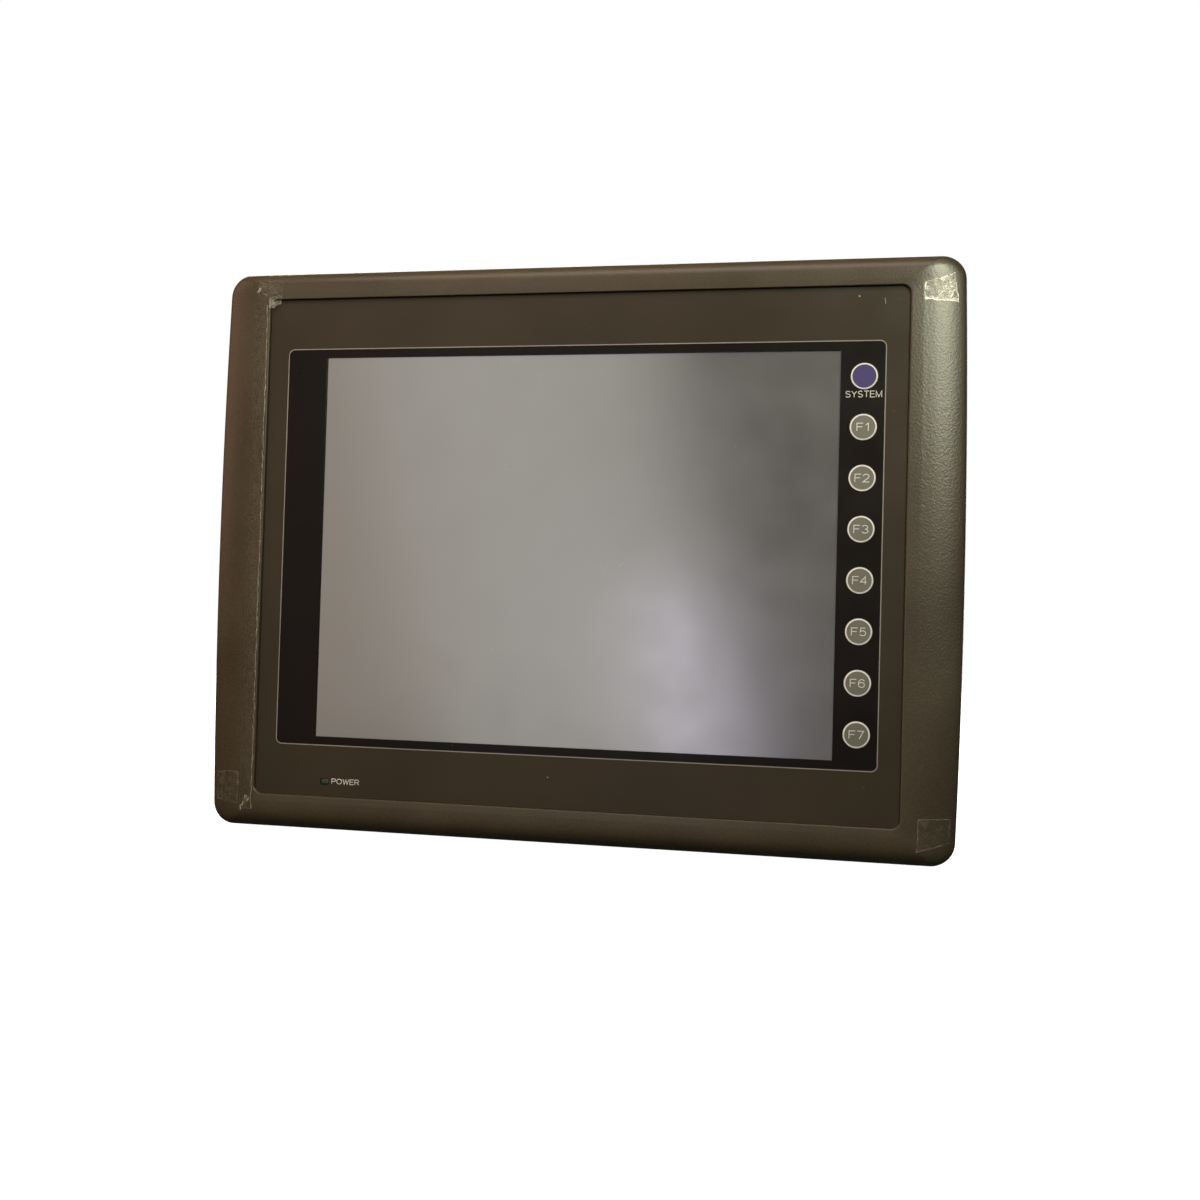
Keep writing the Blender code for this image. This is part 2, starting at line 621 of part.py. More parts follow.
def rear_cover():
    rings = [
        ring((HUMP_HALF[0] - 1.4, HUMP_HALF[1] - 1.4), 2.0, COVER_BACK_Y),
        ring(HUMP_HALF, 3.0, COVER_BACK_Y - 1.4),
        ring(HUMP_HALF, 3.0, COVER_RIM_Y),
        ring((SKIRT_HALF[0] - 1.2, SKIRT_HALF[1] - 1.2), 3.0, COVER_RIM_Y),
        ring(SKIRT_HALF, 4.0, COVER_RIM_Y - 1.2),
        ring(SKIRT_HALF, 4.0, COVER_FRONT_Y),
        ring(SKIRT_INSIDE, 2.6, COVER_FRONT_Y),
        ring(SKIRT_INSIDE, 2.6, COVER_RIM_Y - RIM_WALL),
        ring((HUMP_HALF[0] - HUMP_WALL, HUMP_HALF[1] - HUMP_WALL), 1.5, COVER_RIM_Y - RIM_WALL),
        ring((HUMP_HALF[0] - HUMP_WALL, HUMP_HALF[1] - HUMP_WALL), 1.5, COVER_BACK_Y - HUMP_WALL),
    ]
    cover = add_mesh("rear_cover", skin(rings), COVER)
    battery_well(cover)
    boolean(cover, cover_hollows(), "DIFFERENCE")
    for index, (x, z) in enumerate(four_corners(BOSS_AT)):
        seat = COVER_RIM_Y + GAP
        stages = ((2.0, 2.0), (2.8, 1.2), (2.8, 0.0), (SCREW_RADIUS, 0.0), (SCREW_RADIUS, -9.0))
        rows = [circle((x, z), radius, seat + step, 16) for radius, step in stages]
        add_mesh(f"rear_cover_screw_{index + 1}", skin(rows), SCREW)


def door_outline(height):
    """The door's section across its hinge: a flat leaf below a round barrel, in (depth, up)."""
    points = []
    for step in range(13):
        angle = math.radians(180 - 180 * step / 12)
        points.append((BARREL_RADIUS * math.cos(angle), BARREL_RADIUS * math.sin(angle)))
    face = HINGE_DEPTH
    points += [(face, -height), (face - DOOR_THICK, -height), (face - DOOR_THICK, -BARREL_RADIUS)]
    points.append((-BARREL_RADIUS, -0.4))
    return points


def hung_door(name, centre, width, height, sideways):
    """A leaf whose origin lies on its hinge axis. The axis runs along X, or along Y if sideways."""

    def place(depth, up, end):
        across = (end - 0.5) * width
        if sideways:
            return (centre[0] + depth, centre[1] + across, centre[2] + up)
        return (centre[0] + across, centre[1] + depth, centre[2] + up)

    leaf = add_mesh(name, prism(door_outline(height), place), DOOR, centre)
    pin = bmesh.new()
    along = Vector((0.0, 1.0, 0.0)) if sideways else Vector((1.0, 0.0, 0.0))
    reach = along * (width / 2 + STUB_LENGTH)
    rod(pin, Vector(centre) - reach, Vector(centre) + reach, STUB_RADIUS, 12)
    boolean(leaf, add_mesh(name + "_pin", pin, None), "UNION")


def doors():
    axis_y = COVER_BACK_Y - HINGE_DEPTH
    x, z, width, height = TERMINAL_DOOR
    hung_door("terminal_cover", (x, axis_y, z), width, height, False)
    x, z, width, height = BATTERY_DOOR
    hung_door("battery_cover", (x, axis_y, z), width, height, False)
    y, z, width, height = CARD_DOOR
    hung_door("card_door", (HUMP_HALF[0] - HINGE_DEPTH, y, z), width, height, True)


def terminal_block():
    """Barrier strip with a clamping screw between each pair of barriers."""
    bm = bmesh.new()
    base = (BOARD_Y[1] + GAP, 40.0)
    box_at(bm, (TERMINAL_X, TERMINAL_Z), (35.0, 17.0), base)
    block = add_mesh("terminal_block", bm, TERMINAL)
    walls = bmesh.new()
    for index in range(4):
        x = TERMINAL_X + (index - 1.5) * TERMINAL_PITCH
        box_at(walls, (x, TERMINAL_Z), (1.6, 16.9), (base[1] - 0.5, 43.6))
    boolean(block, add_mesh("terminal_barriers", walls, None), "UNION")
    bores = bmesh.new()
    for index in range(3):
        x = TERMINAL_X + (index - 1) * TERMINAL_PITCH
        rod(bores, (x, base[1] - 6.0, TERMINAL_Z), (x, base[1] + 1.0, TERMINAL_Z), 2.05, 16)
        rows = [
            circle((x, TERMINAL_Z), radius, y, 16)
            for radius, y in ((2.6, 42.6), (3.4, 41.8), (3.4, 40.3), (1.75, 40.3), (1.75, 34.8))
        ]
        add_mesh(f"terminal_screw_{index + 1}", skin(rows), SCREW)
    boolean(block, add_mesh("terminal_bores", bores, None), "DIFFERENCE")


def serial_connector():
    """Twenty-five way D-shaped socket whose shell stands through the back wall."""
    x, z = SERIAL_AT
    flange = (COVER_BACK_Y - HUMP_WALL - GAP - 0.8, COVER_BACK_Y - HUMP_WALL - GAP)
    bm = bmesh.new()
    box_at(bm, SERIAL_AT, (53.0, 12.5), flange)
    item = add_mesh("serial_connector", bm, SERIAL)
    body = bmesh.new()
    box_at(body, SERIAL_AT, (41.0, 10.6), (BOARD_Y[1] + GAP, flange[0] + 0.3))
    boolean(item, add_mesh("serial_body", body, None), "UNION")
    shell = ((-19.2, 3.95), (19.2, 3.95), (17.8, -3.95), (-17.8, -3.95))
    nose = prism(shell, lambda u, v, end: (x + u, flange[1] - 0.3 + 6.2 * end, z + v))
    boolean(item, add_mesh("serial_nose", nose, None), "UNION")
    for index, side in enumerate((-1, 1)):
        px = x + side * 23.5
        rows = [
            circle((px, z), 2.75, 53.0, 6),
            circle((px, z), 2.75, COVER_BACK_Y + GAP, 6),
            circle((px, z), 1.4, COVER_BACK_Y + GAP, 6),
            circle((px, z), 1.4, flange[1] + GAP, 6),
        ]
        post = add_mesh(f"jack_post_{index + 1}", skin(rows), SCREW)
        bore = bmesh.new()
        rod(bore, (px, 49.0, z), (px, 54.0, z), 1.3, 12)
        boolean(post, add_mesh(f"jack_post_bore_{index + 1}", bore, None), "DIFFERENCE")


def modular_jacks():
    for index, x in enumerate(JACK_X):
        bm = bmesh.new()
        box_at(bm, (x, JACK_Z), (16.0, 14.0), (BOARD_Y[1] + GAP, COVER_BACK_Y + 0.4))
        jack = add_mesh(f"modular_jack_{index + 1}", bm, JACK)
        mouth = bmesh.new()
        box_at(mouth, (x, JACK_Z + 0.5), (12.0, 7.4), (36.0, COVER_BACK_Y + 1.0))
        boolean(jack, add_mesh(f"jack_mouth_{index + 1}", mouth, None), "DIFFERENCE")
        latch = bmesh.new()
        box_at(latch, (x, JACK_Z - 3.9), (6.2, 2.6), (38.0, COVER_BACK_Y + 1.0))
        boolean(jack, add_mesh(f"jack_latch_{index + 1}", latch, None), "DIFFERENCE")


def battery():
    x, z = BATTERY_AT
    bm = bmesh.new()
    rod(bm, (x - 13.0, 36.2, z), (x + 13.0, 36.2, z), 7.3, 24)
    add_mesh("battery", bm, BATTERY, smooth=False)


def card_socket():
    """Open-ended socket on the main board, its mouth behind the side door."""
    y = CARD_DOOR[0]
    bm = bmesh.new()
    box(bm, (78.0, 122.0), (BOARD_Y[1] + GAP, y + 4.6), (CARD_Z - 25.5, CARD_Z + 25.5))
    socket = add_mesh("card_socket", bm, CARD)
    slot = bmesh.new()
    box(slot, (84.0, 123.0), (y - 2.4, y + 2.4), (CARD_Z - 22.2, CARD_Z + 22.2))
    boolean(socket, add_mesh("card_slot", slot, None), "DIFFERENCE")


def dip_switch():
    """Row of slide levers, one above the other, that move from side to side."""
    x, z = DIP_AT
    base = BOARD_Y[1] + GAP
    bm = bmesh.new()
    box_at(bm, DIP_AT, (9.8, 22.4), (base, base + 5.8))
    body = add_mesh("dip_switch_body", bm, DIP)
    slots = bmesh.new()
    for index in range(DIP_LEVERS):
        lever_z = z + ((DIP_LEVERS - 1) / 2 - index) * DIP_PITCH
        box_at(slots, (x, lever_z), (4.2, 1.8), (base + 2.6, base + 7.0))
        lever = bmesh.new()
        centre = (x - 1.0, lever_z)
        box_at(lever, centre, (1.6, 1.2), (base + 2.9, base + 6.8))
        add_mesh(f"dip_lever_{index + 1}", lever, LEVER, (centre[0], base + 5.8, centre[1]))
    boolean(body, add_mesh("dip_slots", slots, None), "DIFFERENCE")


front_bezel()
overlay_sheet()
touch_panel()
function_keys()
power_led()
panel_gasket()
lcd_module()
chassis_plate()
circuit_boards()
lcd_cable()
rear_cover()
doors()
terminal_block()
serial_connector()
modular_jacks()
battery()
card_socket()
dip_switch()
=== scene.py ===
import math

import bmesh
import bpy
from mathutils import Matrix, Vector, noise
from mathutils.bvhtree import BVHTree


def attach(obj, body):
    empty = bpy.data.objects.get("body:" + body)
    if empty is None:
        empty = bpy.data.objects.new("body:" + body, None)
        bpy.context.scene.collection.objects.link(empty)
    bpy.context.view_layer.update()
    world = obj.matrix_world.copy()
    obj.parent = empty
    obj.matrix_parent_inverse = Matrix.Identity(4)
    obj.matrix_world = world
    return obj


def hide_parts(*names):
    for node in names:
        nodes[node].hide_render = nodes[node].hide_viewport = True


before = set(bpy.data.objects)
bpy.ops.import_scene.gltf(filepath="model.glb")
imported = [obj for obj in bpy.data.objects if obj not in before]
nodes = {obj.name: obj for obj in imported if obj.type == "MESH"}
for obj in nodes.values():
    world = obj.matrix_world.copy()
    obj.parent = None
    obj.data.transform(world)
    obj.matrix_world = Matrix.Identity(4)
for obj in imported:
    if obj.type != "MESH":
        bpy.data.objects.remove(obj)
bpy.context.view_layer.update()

# ------------------------------
# Viewing position. The panel stands on its lower edge and is looked at from the front, a
# little to the right of its middle and below it, from under half a metre away.
MM = 0.001
SENSOR_MM = 36.0
LENS_MM = 35.266
EYE_MM = (98.28, -465.94, -30.92)
SIGHT_TURN_DEG = (-1.514, 10.403, 1.483)

turn = Vector(math.radians(angle) for angle in SIGHT_TURN_DEG)
sight = Matrix.Rotation(turn.length, 3, turn) @ Matrix(((1, 0, 0), (0, 0, -1), (0, 1, 0)))
axes = Matrix((sight[0], -sight[1], -sight[2])).transposed()
camera_data = bpy.data.cameras.new("camera")
camera_data.sensor_width = SENSOR_MM
camera_data.lens = LENS_MM
camera_data.clip_start = 0.01
camera = bpy.data.objects.new("camera", camera_data)
camera.matrix_world = Matrix.Translation(Vector(EYE_MM) * MM) @ axes.to_4x4()
bpy.context.scene.collection.objects.link(camera)
bpy.context.scene.camera = camera
bpy.context.scene.view_settings.view_transform = "Standard"


# ------------------------------
# Studio floor: a wide sheet of matt white paper. Its fine tooth gives a soft even ground, and
# the sky behind it is as white, so the panel stands alone.
def linear(code):
    """Turns an sRGB hex colour into linear values, with an alpha of one."""
    parts = [int(code[i : i + 2], 16) / 255 for i in (0, 2, 4)]
    return (*(p / 12.92 if p <= 0.04045 else ((p + 0.055) / 1.055) ** 2.4 for p in parts), 1.0)


def start_material(name):
    """A node material, with its shader node and the place of each point on the object."""
    made = bpy.data.materials.new(name)
    made.use_nodes = True
    place = made.node_tree.nodes.new("ShaderNodeTexCoord").outputs["Object"]
    return made, made.node_tree.nodes["Principled BSDF"], place


def set_inputs(node, inputs):
    """Sets a node's sockets, or links them. Another node stands for its first output."""
    for socket, value in inputs.items():
        if isinstance(value, bpy.types.Node):
            value = value.outputs[0]
        if isinstance(value, bpy.types.NodeSocket):
            node.id_data.links.new(value, node.inputs[socket])
        else:
            node.inputs[socket].default_value = value


def add_node(material, kind, inputs=None, **settings):
    """Adds one shader node with its options, and sets or links its sockets."""
    made = material.node_tree.nodes.new("ShaderNode" + kind)
    for option, value in settings.items():
        setattr(made, option, value)
    set_inputs(made, inputs or {})
    return made


def set_stops(ramp, *stops):
    """Places the stops of a colour ramp: pairs of position and sRGB hex colour."""
    for element, (position, code) in zip(ramp.color_ramp.elements, stops):
        element.position = position
        element.color = linear(code)


def finish_piece(name, bm, surfaces, smooth_below=None):
    """Turns a bmesh drawn in millimetres into an object at the origin, and shades it."""
    bmesh.ops.scale(bm, verts=bm.verts, vec=(MM, MM, MM))
    if smooth_below is not None:
        for face in bm.faces:
            face.smooth = True
        for edge in bm.edges:
            edge.smooth = edge.calc_face_angle(0.0) < math.radians(smooth_below)
    mesh = bpy.data.meshes.new(name)
    bm.to_mesh(mesh)
    bm.free()
    for surface in surfaces:
        mesh.materials.append(surface)
    piece = bpy.data.objects.new(name, mesh)
    bpy.context.scene.collection.objects.link(piece)
    if smooth_below is not None:
        even = piece.modifiers.new("even_normals", "WEIGHTED_NORMAL")
        even.keep_sharp = True
    return piece


def assign(piece, body, node):
    """Fixes a piece to its body in place of a modelled node."""
    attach(piece, body)
    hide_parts(node)


FLOOR_Z_MM = -118.1
FLOOR_RADIUS_MM = 6000.0

paper, shader, place = start_material("matt_white_paper")
fibre = add_node(paper, "TexNoise", {"Vector": place, "Scale": 500.0, "Detail": 3.0})
tooth = add_node(paper, "Bump", {"Height": fibre, "Distance": 0.00005, "Strength": 0.3})
away = add_node(paper, "VectorMath", {0: place}, operation="LENGTH").outputs["Value"]
bright = add_node(
    paper, "MapRange", {"Value": away, "From Min": 0.25, "From Max": 0.8, "To Min": 0.86, "To Max": 1.0}
)
set_inputs(
    shader,
    {
        "Base Color": linear("F4F3F1"),
        "Roughness": 0.9,
        "Normal": tooth,
        "Emission Color": linear("FFFFFF"),
        "Emission Strength": bright,
    },
)
bm = bmesh.new()
bmesh.ops.create_circle(bm, cap_ends=True, segments=96, radius=FLOOR_RADIUS_MM)
bmesh.ops.translate(bm, verts=bm.verts, vec=(0, 0, FLOOR_Z_MM))
floor = finish_piece("paper_floor", bm, [paper], 30)
floor.visible_diffuse = False
floor.visible_glossy = False

# ------------------------------
# Lamps: a broad soft box high on the right, a taller warm one at the front left that shows
# as a soft band in the screen, and a pale sky to fill the shadows.
LAMPS = (
    # name, place in mm, aimed at in mm, roll in degrees, width and height in mm, watts,
    # colour, whether it lights surfaces softly, whether it shows in their sheen
    ("key_box", (600, -880, 476), (142, 0, 80), 0, (320, 400), 24.0, "FCFFE0", False, True),
    ("band_box", (-72, -1250, -150), (40, 0, 0), 15, (80, 380), 0.4, "ECE4FF", False, True),
    ("wall_box", (-315, -1250, 195), (0, 0, 0), 12, (450, 1050), 3.0, "FFFBF2", False, True),
    ("left_box", (-775, -1200, 195), (-80, 0, 0), 15, (440, 1050), 2.0, "FFEEDC", False, True),
    ("room_box", (290, -1350, 160), (40, 0, 0), 15, (700, 900), 0.68, "FFF6EE", False, True),
    ("top_box", (20, -330, 560), (0, 0, 60), 0, (700, 300), 4.3, "FFEEDC", True, True),
    ("fill_box", (0, -1100, 700), (0, 0, 0), 0, (800, 500), 4.0, "FCFFEC", True, False),
    ("warm_box", (-950, -330, 330), (-140, 0, 0), 0, (500, 700), 2.5, "FFC2AA", True, True),
    ("back_box", (-500, 1250, 700), (0, 40, 0), 0, (900, 700), 16.0, "FFF8EE", True, True),
    ("back_rim_box", (900, 900, 250), (0, 30, 0), 0, (300, 700), 5.0, "F4F6FF", True, True),
)
for name, place, aim, roll, size, watts, colour, soft, sheen in LAMPS:
    data = bpy.data.lights.new(name, "AREA")
    data.shape = "RECTANGLE"
    data.size = size[0] * MM
    data.size_y = size[1] * MM
    data.energy = watts
    data.color = linear(colour)[:3]
    lamp = bpy.data.objects.new(name, data)
    facing = (Vector(aim) - Vector(place)).to_track_quat("-Z", "Y").to_matrix().to_4x4()
    rolled = facing @ Matrix.Rotation(math.radians(roll), 4, "Z")
    lamp.matrix_world = Matrix.Translation(Vector(place) * MM) @ rolled
    lamp.visible_camera = False
    lamp.visible_diffuse = soft
    lamp.visible_glossy = sheen
    bpy.context.scene.collection.objects.link(lamp)

sky = bpy.data.worlds.new("sky")
sky.use_nodes = True
ground = sky.node_tree.nodes["Background"]
seen = add_node(sky, "LightPath").outputs["Is Camera Ray"]
glow = add_node(sky, "MapRange", {"Value": seen, "To Min": 0.05, "To Max": 1.0})
set_inputs(ground, {"Color": linear("FFFFFF"), "Strength": glow})
bpy.context.scene.world = sky

# ------------------------------
# Front bezel. One injection moulding in olive-brown ABS with a fine spark-eroded texture. A
# narrow flat zone runs round the sheet, and from a soft crease the sides fall away outwards.
CORNER_STEPS = 14
SIDE_SPANS = 26


def loop_edges(bm, points):
    """A closed loop of edges through the points."""
    ring = [bm.verts.new(point) for point in points]
    return [bm.edges.new((a, b)) for a, b in zip(ring, ring[1:] + ring[:1])]


def rounded_loop(half, radius, y_side, y_end=None, bow=0.0, shift=(0.0, 0.0)):
    """Points of a rounded rectangle. Its sides and ends can differ in depth, and bow out."""
    y_end = y_side if y_end is None else y_end
    points = []
    for corner, (sx, sz) in enumerate(((1, 1), (-1, 1), (-1, -1), (1, -1))):
        cx = sx * (half[0] - radius)
        cz = sz * (half[1] - radius)
        for step in range(CORNER_STEPS + 1):
            share = step / CORNER_STEPS
            angle = math.radians(90 * (corner + share))
            blend = share if corner in (0, 2) else 1 - share
            blend = blend * blend * (3 - 2 * blend)
            y = y_side + (y_end - y_side) * blend
            points.append((cx + radius * math.cos(angle), y, cz + radius * math.sin(angle)))
        if corner in (1, 3):
            x = cx + sx * radius
            for step in range(1, SIDE_SPANS):
                points.append((x, y_side, cz * (1 - 2 * step / SIDE_SPANS)))
    bowed = [(x + bow * x / half[0] * (1 - (z / half[1]) ** 2), y, z) for x, y, z in points]
    return [(x + shift[0], y, z + shift[1]) for x, y, z in bowed]


def bridge_all(bm, loops, endless=False):
    """Joins each loop of edges to the next with a band of faces, and closes the two ends."""
    for near, far in zip(loops, loops[1:] + (loops[:1] if endless else [])):
        bmesh.ops.bridge_loops(bm, edges=near + far)
    if not endless:
        bmesh.ops.holes_fill(bm, edges=loops[0] + loops[-1], sides=0)
    bmesh.ops.recalc_face_normals(bm, faces=bm.faces)


def round_loop(bm, centre, radius, y=-5.0, steps=72):
    """Edges of a circle that lies flat at one depth."""
    points = []
    for step in range(steps):
        angle = 2 * math.pi * step / steps
        points.append((centre[0] + radius * math.cos(angle), y, centre[1] + radius * math.sin(angle)))
    return loop_edges(bm, points)


BEZEL_HALF = (151.5, 116.7)
BEZEL_SHIFT = (0.4, -1.1)
SIDE_BOW = 1.8
CROWN = (
    # inset of the sides, inset of the ends, corner radius, depth at the sides, at the ends
    (15.3, 10.0, 5.0, -6.12, -6.3),
    (11.3, 7.4, 6.0, -5.65, -6.25),
    (7.8, 5.0, 7.0, -5.0, -6.0),
    (4.7, 3.2, 7.6, -4.2, -5.4),
    (2.0, 1.5, 8.3, -3.25, -4.3),
    (0.4, 0.3, 8.9, -2.4, -2.8),
    (0.0, 0.0, 9.0, -1.6, -1.6),
)
INNER_ZONE = (
    (20.2, 12.8, 3.45, -6.05, -5.95),
    (20.1, 12.7, 3.5, -6.22, -6.08),
    (19.95, 12.55, 3.6, -6.33, -6.16),
    (19.6, 12.2, 3.8, -6.38, -6.2),
    (16.4, 10.6, 4.8, -6.2, -6.28),
    (15.6, 10.1, 4.9, -6.15, -6.3),
)
CROWN_SPANS = 4
BEZEL_OPENING = (107.4, 81.0)
SHEET_RECESS = (131.25, 103.85)
SCREW_PLACES = [(sx * 135.5, sz * 99.2) for sx in (1, -1) for sz in (1, -1)]
BEZEL_BACK = (
    # half width and half height, corner radius, depth
    ((149.9, 114.1), 7.6, -0.8),
    ((149.9, 114.1), 7.6, -2.3),
    ((145.9, 110.1), 4.6, -2.3),
    ((145.9, 110.1), 4.6, -0.8),
    ((143.6, 107.2), 4.0, -0.8),
    ((143.6, 107.2), 4.0, 6.0),
    ((141.2, 104.8), 2.6, 6.0),
    ((141.2, 104.8), 2.6, -1.7),
    (BEZEL_OPENING, 1.0, -1.7),
)


def smooth_rows(rows, spans):
    """Adds rows between the given ones on a smooth curve through them."""
    filled = []
    last = len(rows) - 1
    for index in range(last):
        before, start = rows[max(index - 1, 0)], rows[index]
        end, after = rows[index + 1], rows[min(index + 2, last)]
        for step in range(spans):
            t = step / spans
            row = []
            for a, b, c, d in zip(before, start, end, after):
                square = (2 * a - 5 * b + 4 * c - d) * t * t
                cube = (3 * b - a - 3 * c + d) * t * t * t
                row.append(0.5 * (2 * b + (c - a) * t + square + cube))
            filled.append(tuple(row))
    filled.append(rows[last])
    return filled


bm = bmesh.new()
loops = [
    loop_edges(bm, rounded_loop(BEZEL_OPENING, 1.0, -4.2)),
    loop_edges(bm, rounded_loop(SHEET_RECESS, 3.4, -4.2)),
    loop_edges(bm, rounded_loop(SHEET_RECESS, 3.4, -5.5)),
]
for side, end, radius, y_side, y_end in (*INNER_ZONE, *smooth_rows(CROWN, CROWN_SPANS)):
    half = (BEZEL_HALF[0] - side, BEZEL_HALF[1] - end)
    fade = max(0.0, 1 - side / 20)
    shift = (BEZEL_SHIFT[0] * fade, BEZEL_SHIFT[1] * fade)
    row = rounded_loop(half, radius, y_side, y_end, SIDE_BOW * fade, shift)
    loops.append(loop_edges(bm, row))
loops += [
    loop_edges(bm, rounded_loop(half, radius, y, bow=SIDE_BOW, shift=BEZEL_SHIFT))
    for half, radius, y in ((BEZEL_HALF, 9.0, -0.95), ((151.3, 116.5), 8.8, -0.8))
]
loops += [loop_edges(bm, rounded_loop(*row)) for row in BEZEL_BACK]
bridge_all(bm, loops, endless=True)
bezel_surface = BVHTree.FromBMesh(bm)
for centre in SCREW_PLACES:
    rows = ((3.6, -2.7), (3.6, 16.9), (3.3, 17.2), (1.8, 17.2), (1.8, 8.2))
    bridge_all(bm, [round_loop(bm, centre, radius, y, 32) for radius, y in rows])

# Olive-brown ABS, moulded against a spark-eroded tool: a semi-matt skin with a grain of
# about half a millimetre, drawn a little coarse so that it still shows.
bezel_abs, shader, place = start_material("moulded_olive_abs")
cloud = add_node(bezel_abs, "TexNoise", {"Vector": place, "Scale": 28.0, "Detail": 3.0})
tint = add_node(bezel_abs, "ValToRGB", {"Fac": cloud})
set_stops(tint, (0.3, "443B2C"), (0.7, "4C4332"))
grain = add_node(bezel_abs, "TexNoise", {"Vector": place, "Scale": 1100.0, "Detail": 2.0})
fleck = add_node(
    bezel_abs,
    "MapRange",
    {"Value": grain, "From Min": 0.3, "From Max": 0.7, "To Min": 0.9, "To Max": 1.1},
)
mixed = add_node(bezel_abs, "VectorMath", {0: tint, "Scale": fleck}, operation="SCALE")
sheen = add_node(
    bezel_abs,
    "MapRange",
    {"Value": cloud, "From Min": 0.3, "From Max": 0.7, "To Min": 0.29, "To Max": 0.35},
)
rough = add_node(bezel_abs, "Bump", {"Height": grain, "Distance": 0.0001, "Strength": 0.6})
set_inputs(
    shader,
    {"Base Color": mixed, "Roughness": sheen, "Normal": rough, "IOR": 1.53, "Specular IOR Level": 0.2},
)

bezel = finish_piece("bezel_moulding", bm, [bezel_abs], 38)
assign(bezel, "panel", "front_bezel")

# ------------------------------
# Overlay sheet. Half a millimetre of polyester film with a fine matt texture, printed from
# behind in brown-grey, with a black field round the screen and a thin pale line round it.
KEY_CENTRES = [(114.5, 68.95 - 19.7 * index) for index in range(8)]
KEY_HOLE_RADIUS = 5.4
LED_CENTRE = (-100.5, -97.7)
SHEET_THICK = 0.5
ON_SHEET_Y = -5.002
ON_FILM_Y = -4.202


def flat_loop(bm, half, radius, centre=(0.0, 0.0), y=-5.0):
    """Edges of a rounded rectangle that lies flat at one depth."""
    points = rounded_loop(half, radius, y)
    return loop_edges(bm, [(x + centre[0], y, z + centre[1]) for x, _, z in points])


def extrude(bm, faces, step, keep=False):
    """Draws faces out by one step. The first faces are kept as the far side, or left out."""
    made = bmesh.ops.extrude_face_region(bm, geom=faces, use_keep_orig=keep)["geom"]
    moved = [item for item in made if isinstance(item, bmesh.types.BMVert)]
    bmesh.ops.translate(bm, verts=moved, vec=step)
    if not keep:
        bmesh.ops.delete(bm, geom=faces, context="FACES")
    bmesh.ops.recalc_face_normals(bm, faces=bm.faces)


def fill_between(bm, edges, material_index):
    """Fills the flat area between outlines, holes left open, and gives it one ink."""
    made = bmesh.ops.triangle_fill(bm, use_beauty=True, edges=edges, normal=(0, -1, 0))["geom"]
    for item in made:
        if isinstance(item, bmesh.types.BMFace):
            item.material_index = material_index


bm = bmesh.new()
edge_of_sheet = flat_loop(bm, (131.1, 103.7), 3.1)
line_outside = flat_loop(bm, (122.75, 82.9), 2.6)
line_inside = flat_loop(bm, (122.38, 82.53), 2.25)
window = flat_loop(bm, (105.6, 79.2), 0.3)
led_hole = flat_loop(bm, (2.0, 1.4), 0.9, LED_CENTRE)
key_holes = [edge for centre in KEY_CENTRES for edge in round_loop(bm, centre, KEY_HOLE_RADIUS)]
fill_between(bm, edge_of_sheet + line_outside + led_hole, 0)
fill_between(bm, line_outside + line_inside, 1)
fill_between(bm, line_inside + window + key_holes, 2)
bmesh.ops.recalc_face_normals(bm, faces=bm.faces)
extrude(bm, list(bm.faces), (0, SHEET_THICK, 0), keep=True)


def printed_film(name, ink_low, ink_high, roughness, specular=0.4):
    """Textured polyester film over one ink. Its fine matt grain softens the reflections."""
    film, shader, place = start_material(name)
    cloud = add_node(film, "TexNoise", {"Vector": place, "Scale": 18.0, "Detail": 4.0})
    tint = add_node(film, "ValToRGB", {"Fac": cloud})
    set_stops(tint, (0.35, ink_low), (0.65, ink_high))
    specks = add_node(film, "TexVoronoi", {"Vector": place, "Scale": 90.0, "Randomness": 1.0})
    dust = add_node(
        film,
        "MapRange",
        {"Value": specks, "From Min": 0.016, "From Max": 0.024, "To Min": 0.35, "To Max": 0.0},
    )
    dusty = add_node(film, "Mix", {"Factor": dust, 6: tint, 7: linear("8C8476")}, data_type="RGBA")
    smear = add_node(film, "TexNoise", {"Vector": place, "Scale": 55.0, "Detail": 3.0})
    matt = add_node(
        film,
        "MapRange",
        {
            "Value": smear,
            "From Min": 0.3,
            "From Max": 0.7,
            "To Min": roughness - 0.04,
            "To Max": roughness + 0.05,
        },
    )
    grain = add_node(film, "TexNoise", {"Vector": place, "Scale": 1800.0, "Detail": 1.0})
    rough = add_node(film, "Bump", {"Height": grain, "Distance": 0.00003, "Strength": 0.35})
    set_inputs(
        shader,
        {
            "Base Color": dusty.outputs[2],
            "Roughness": matt,
            "Normal": rough,
            "IOR": 1.5,
            "Specular IOR Level": specular,
        },
    )
    return film


field_ink = printed_film("printed_polyester_brown_grey", "393226", "3F372B", 0.36, 0.1)
line_ink = printed_film("printed_polyester_pale_line", "8F8A80", "9C978D", 0.42)
border_ink = printed_film("printed_polyester_black", "110B09", "160F0C", 0.32, 0.08)
sheet = finish_piece("overlay_film", bm, [field_ink, line_ink, border_ink], 30)
assign(sheet, "panel", "overlay_sheet")

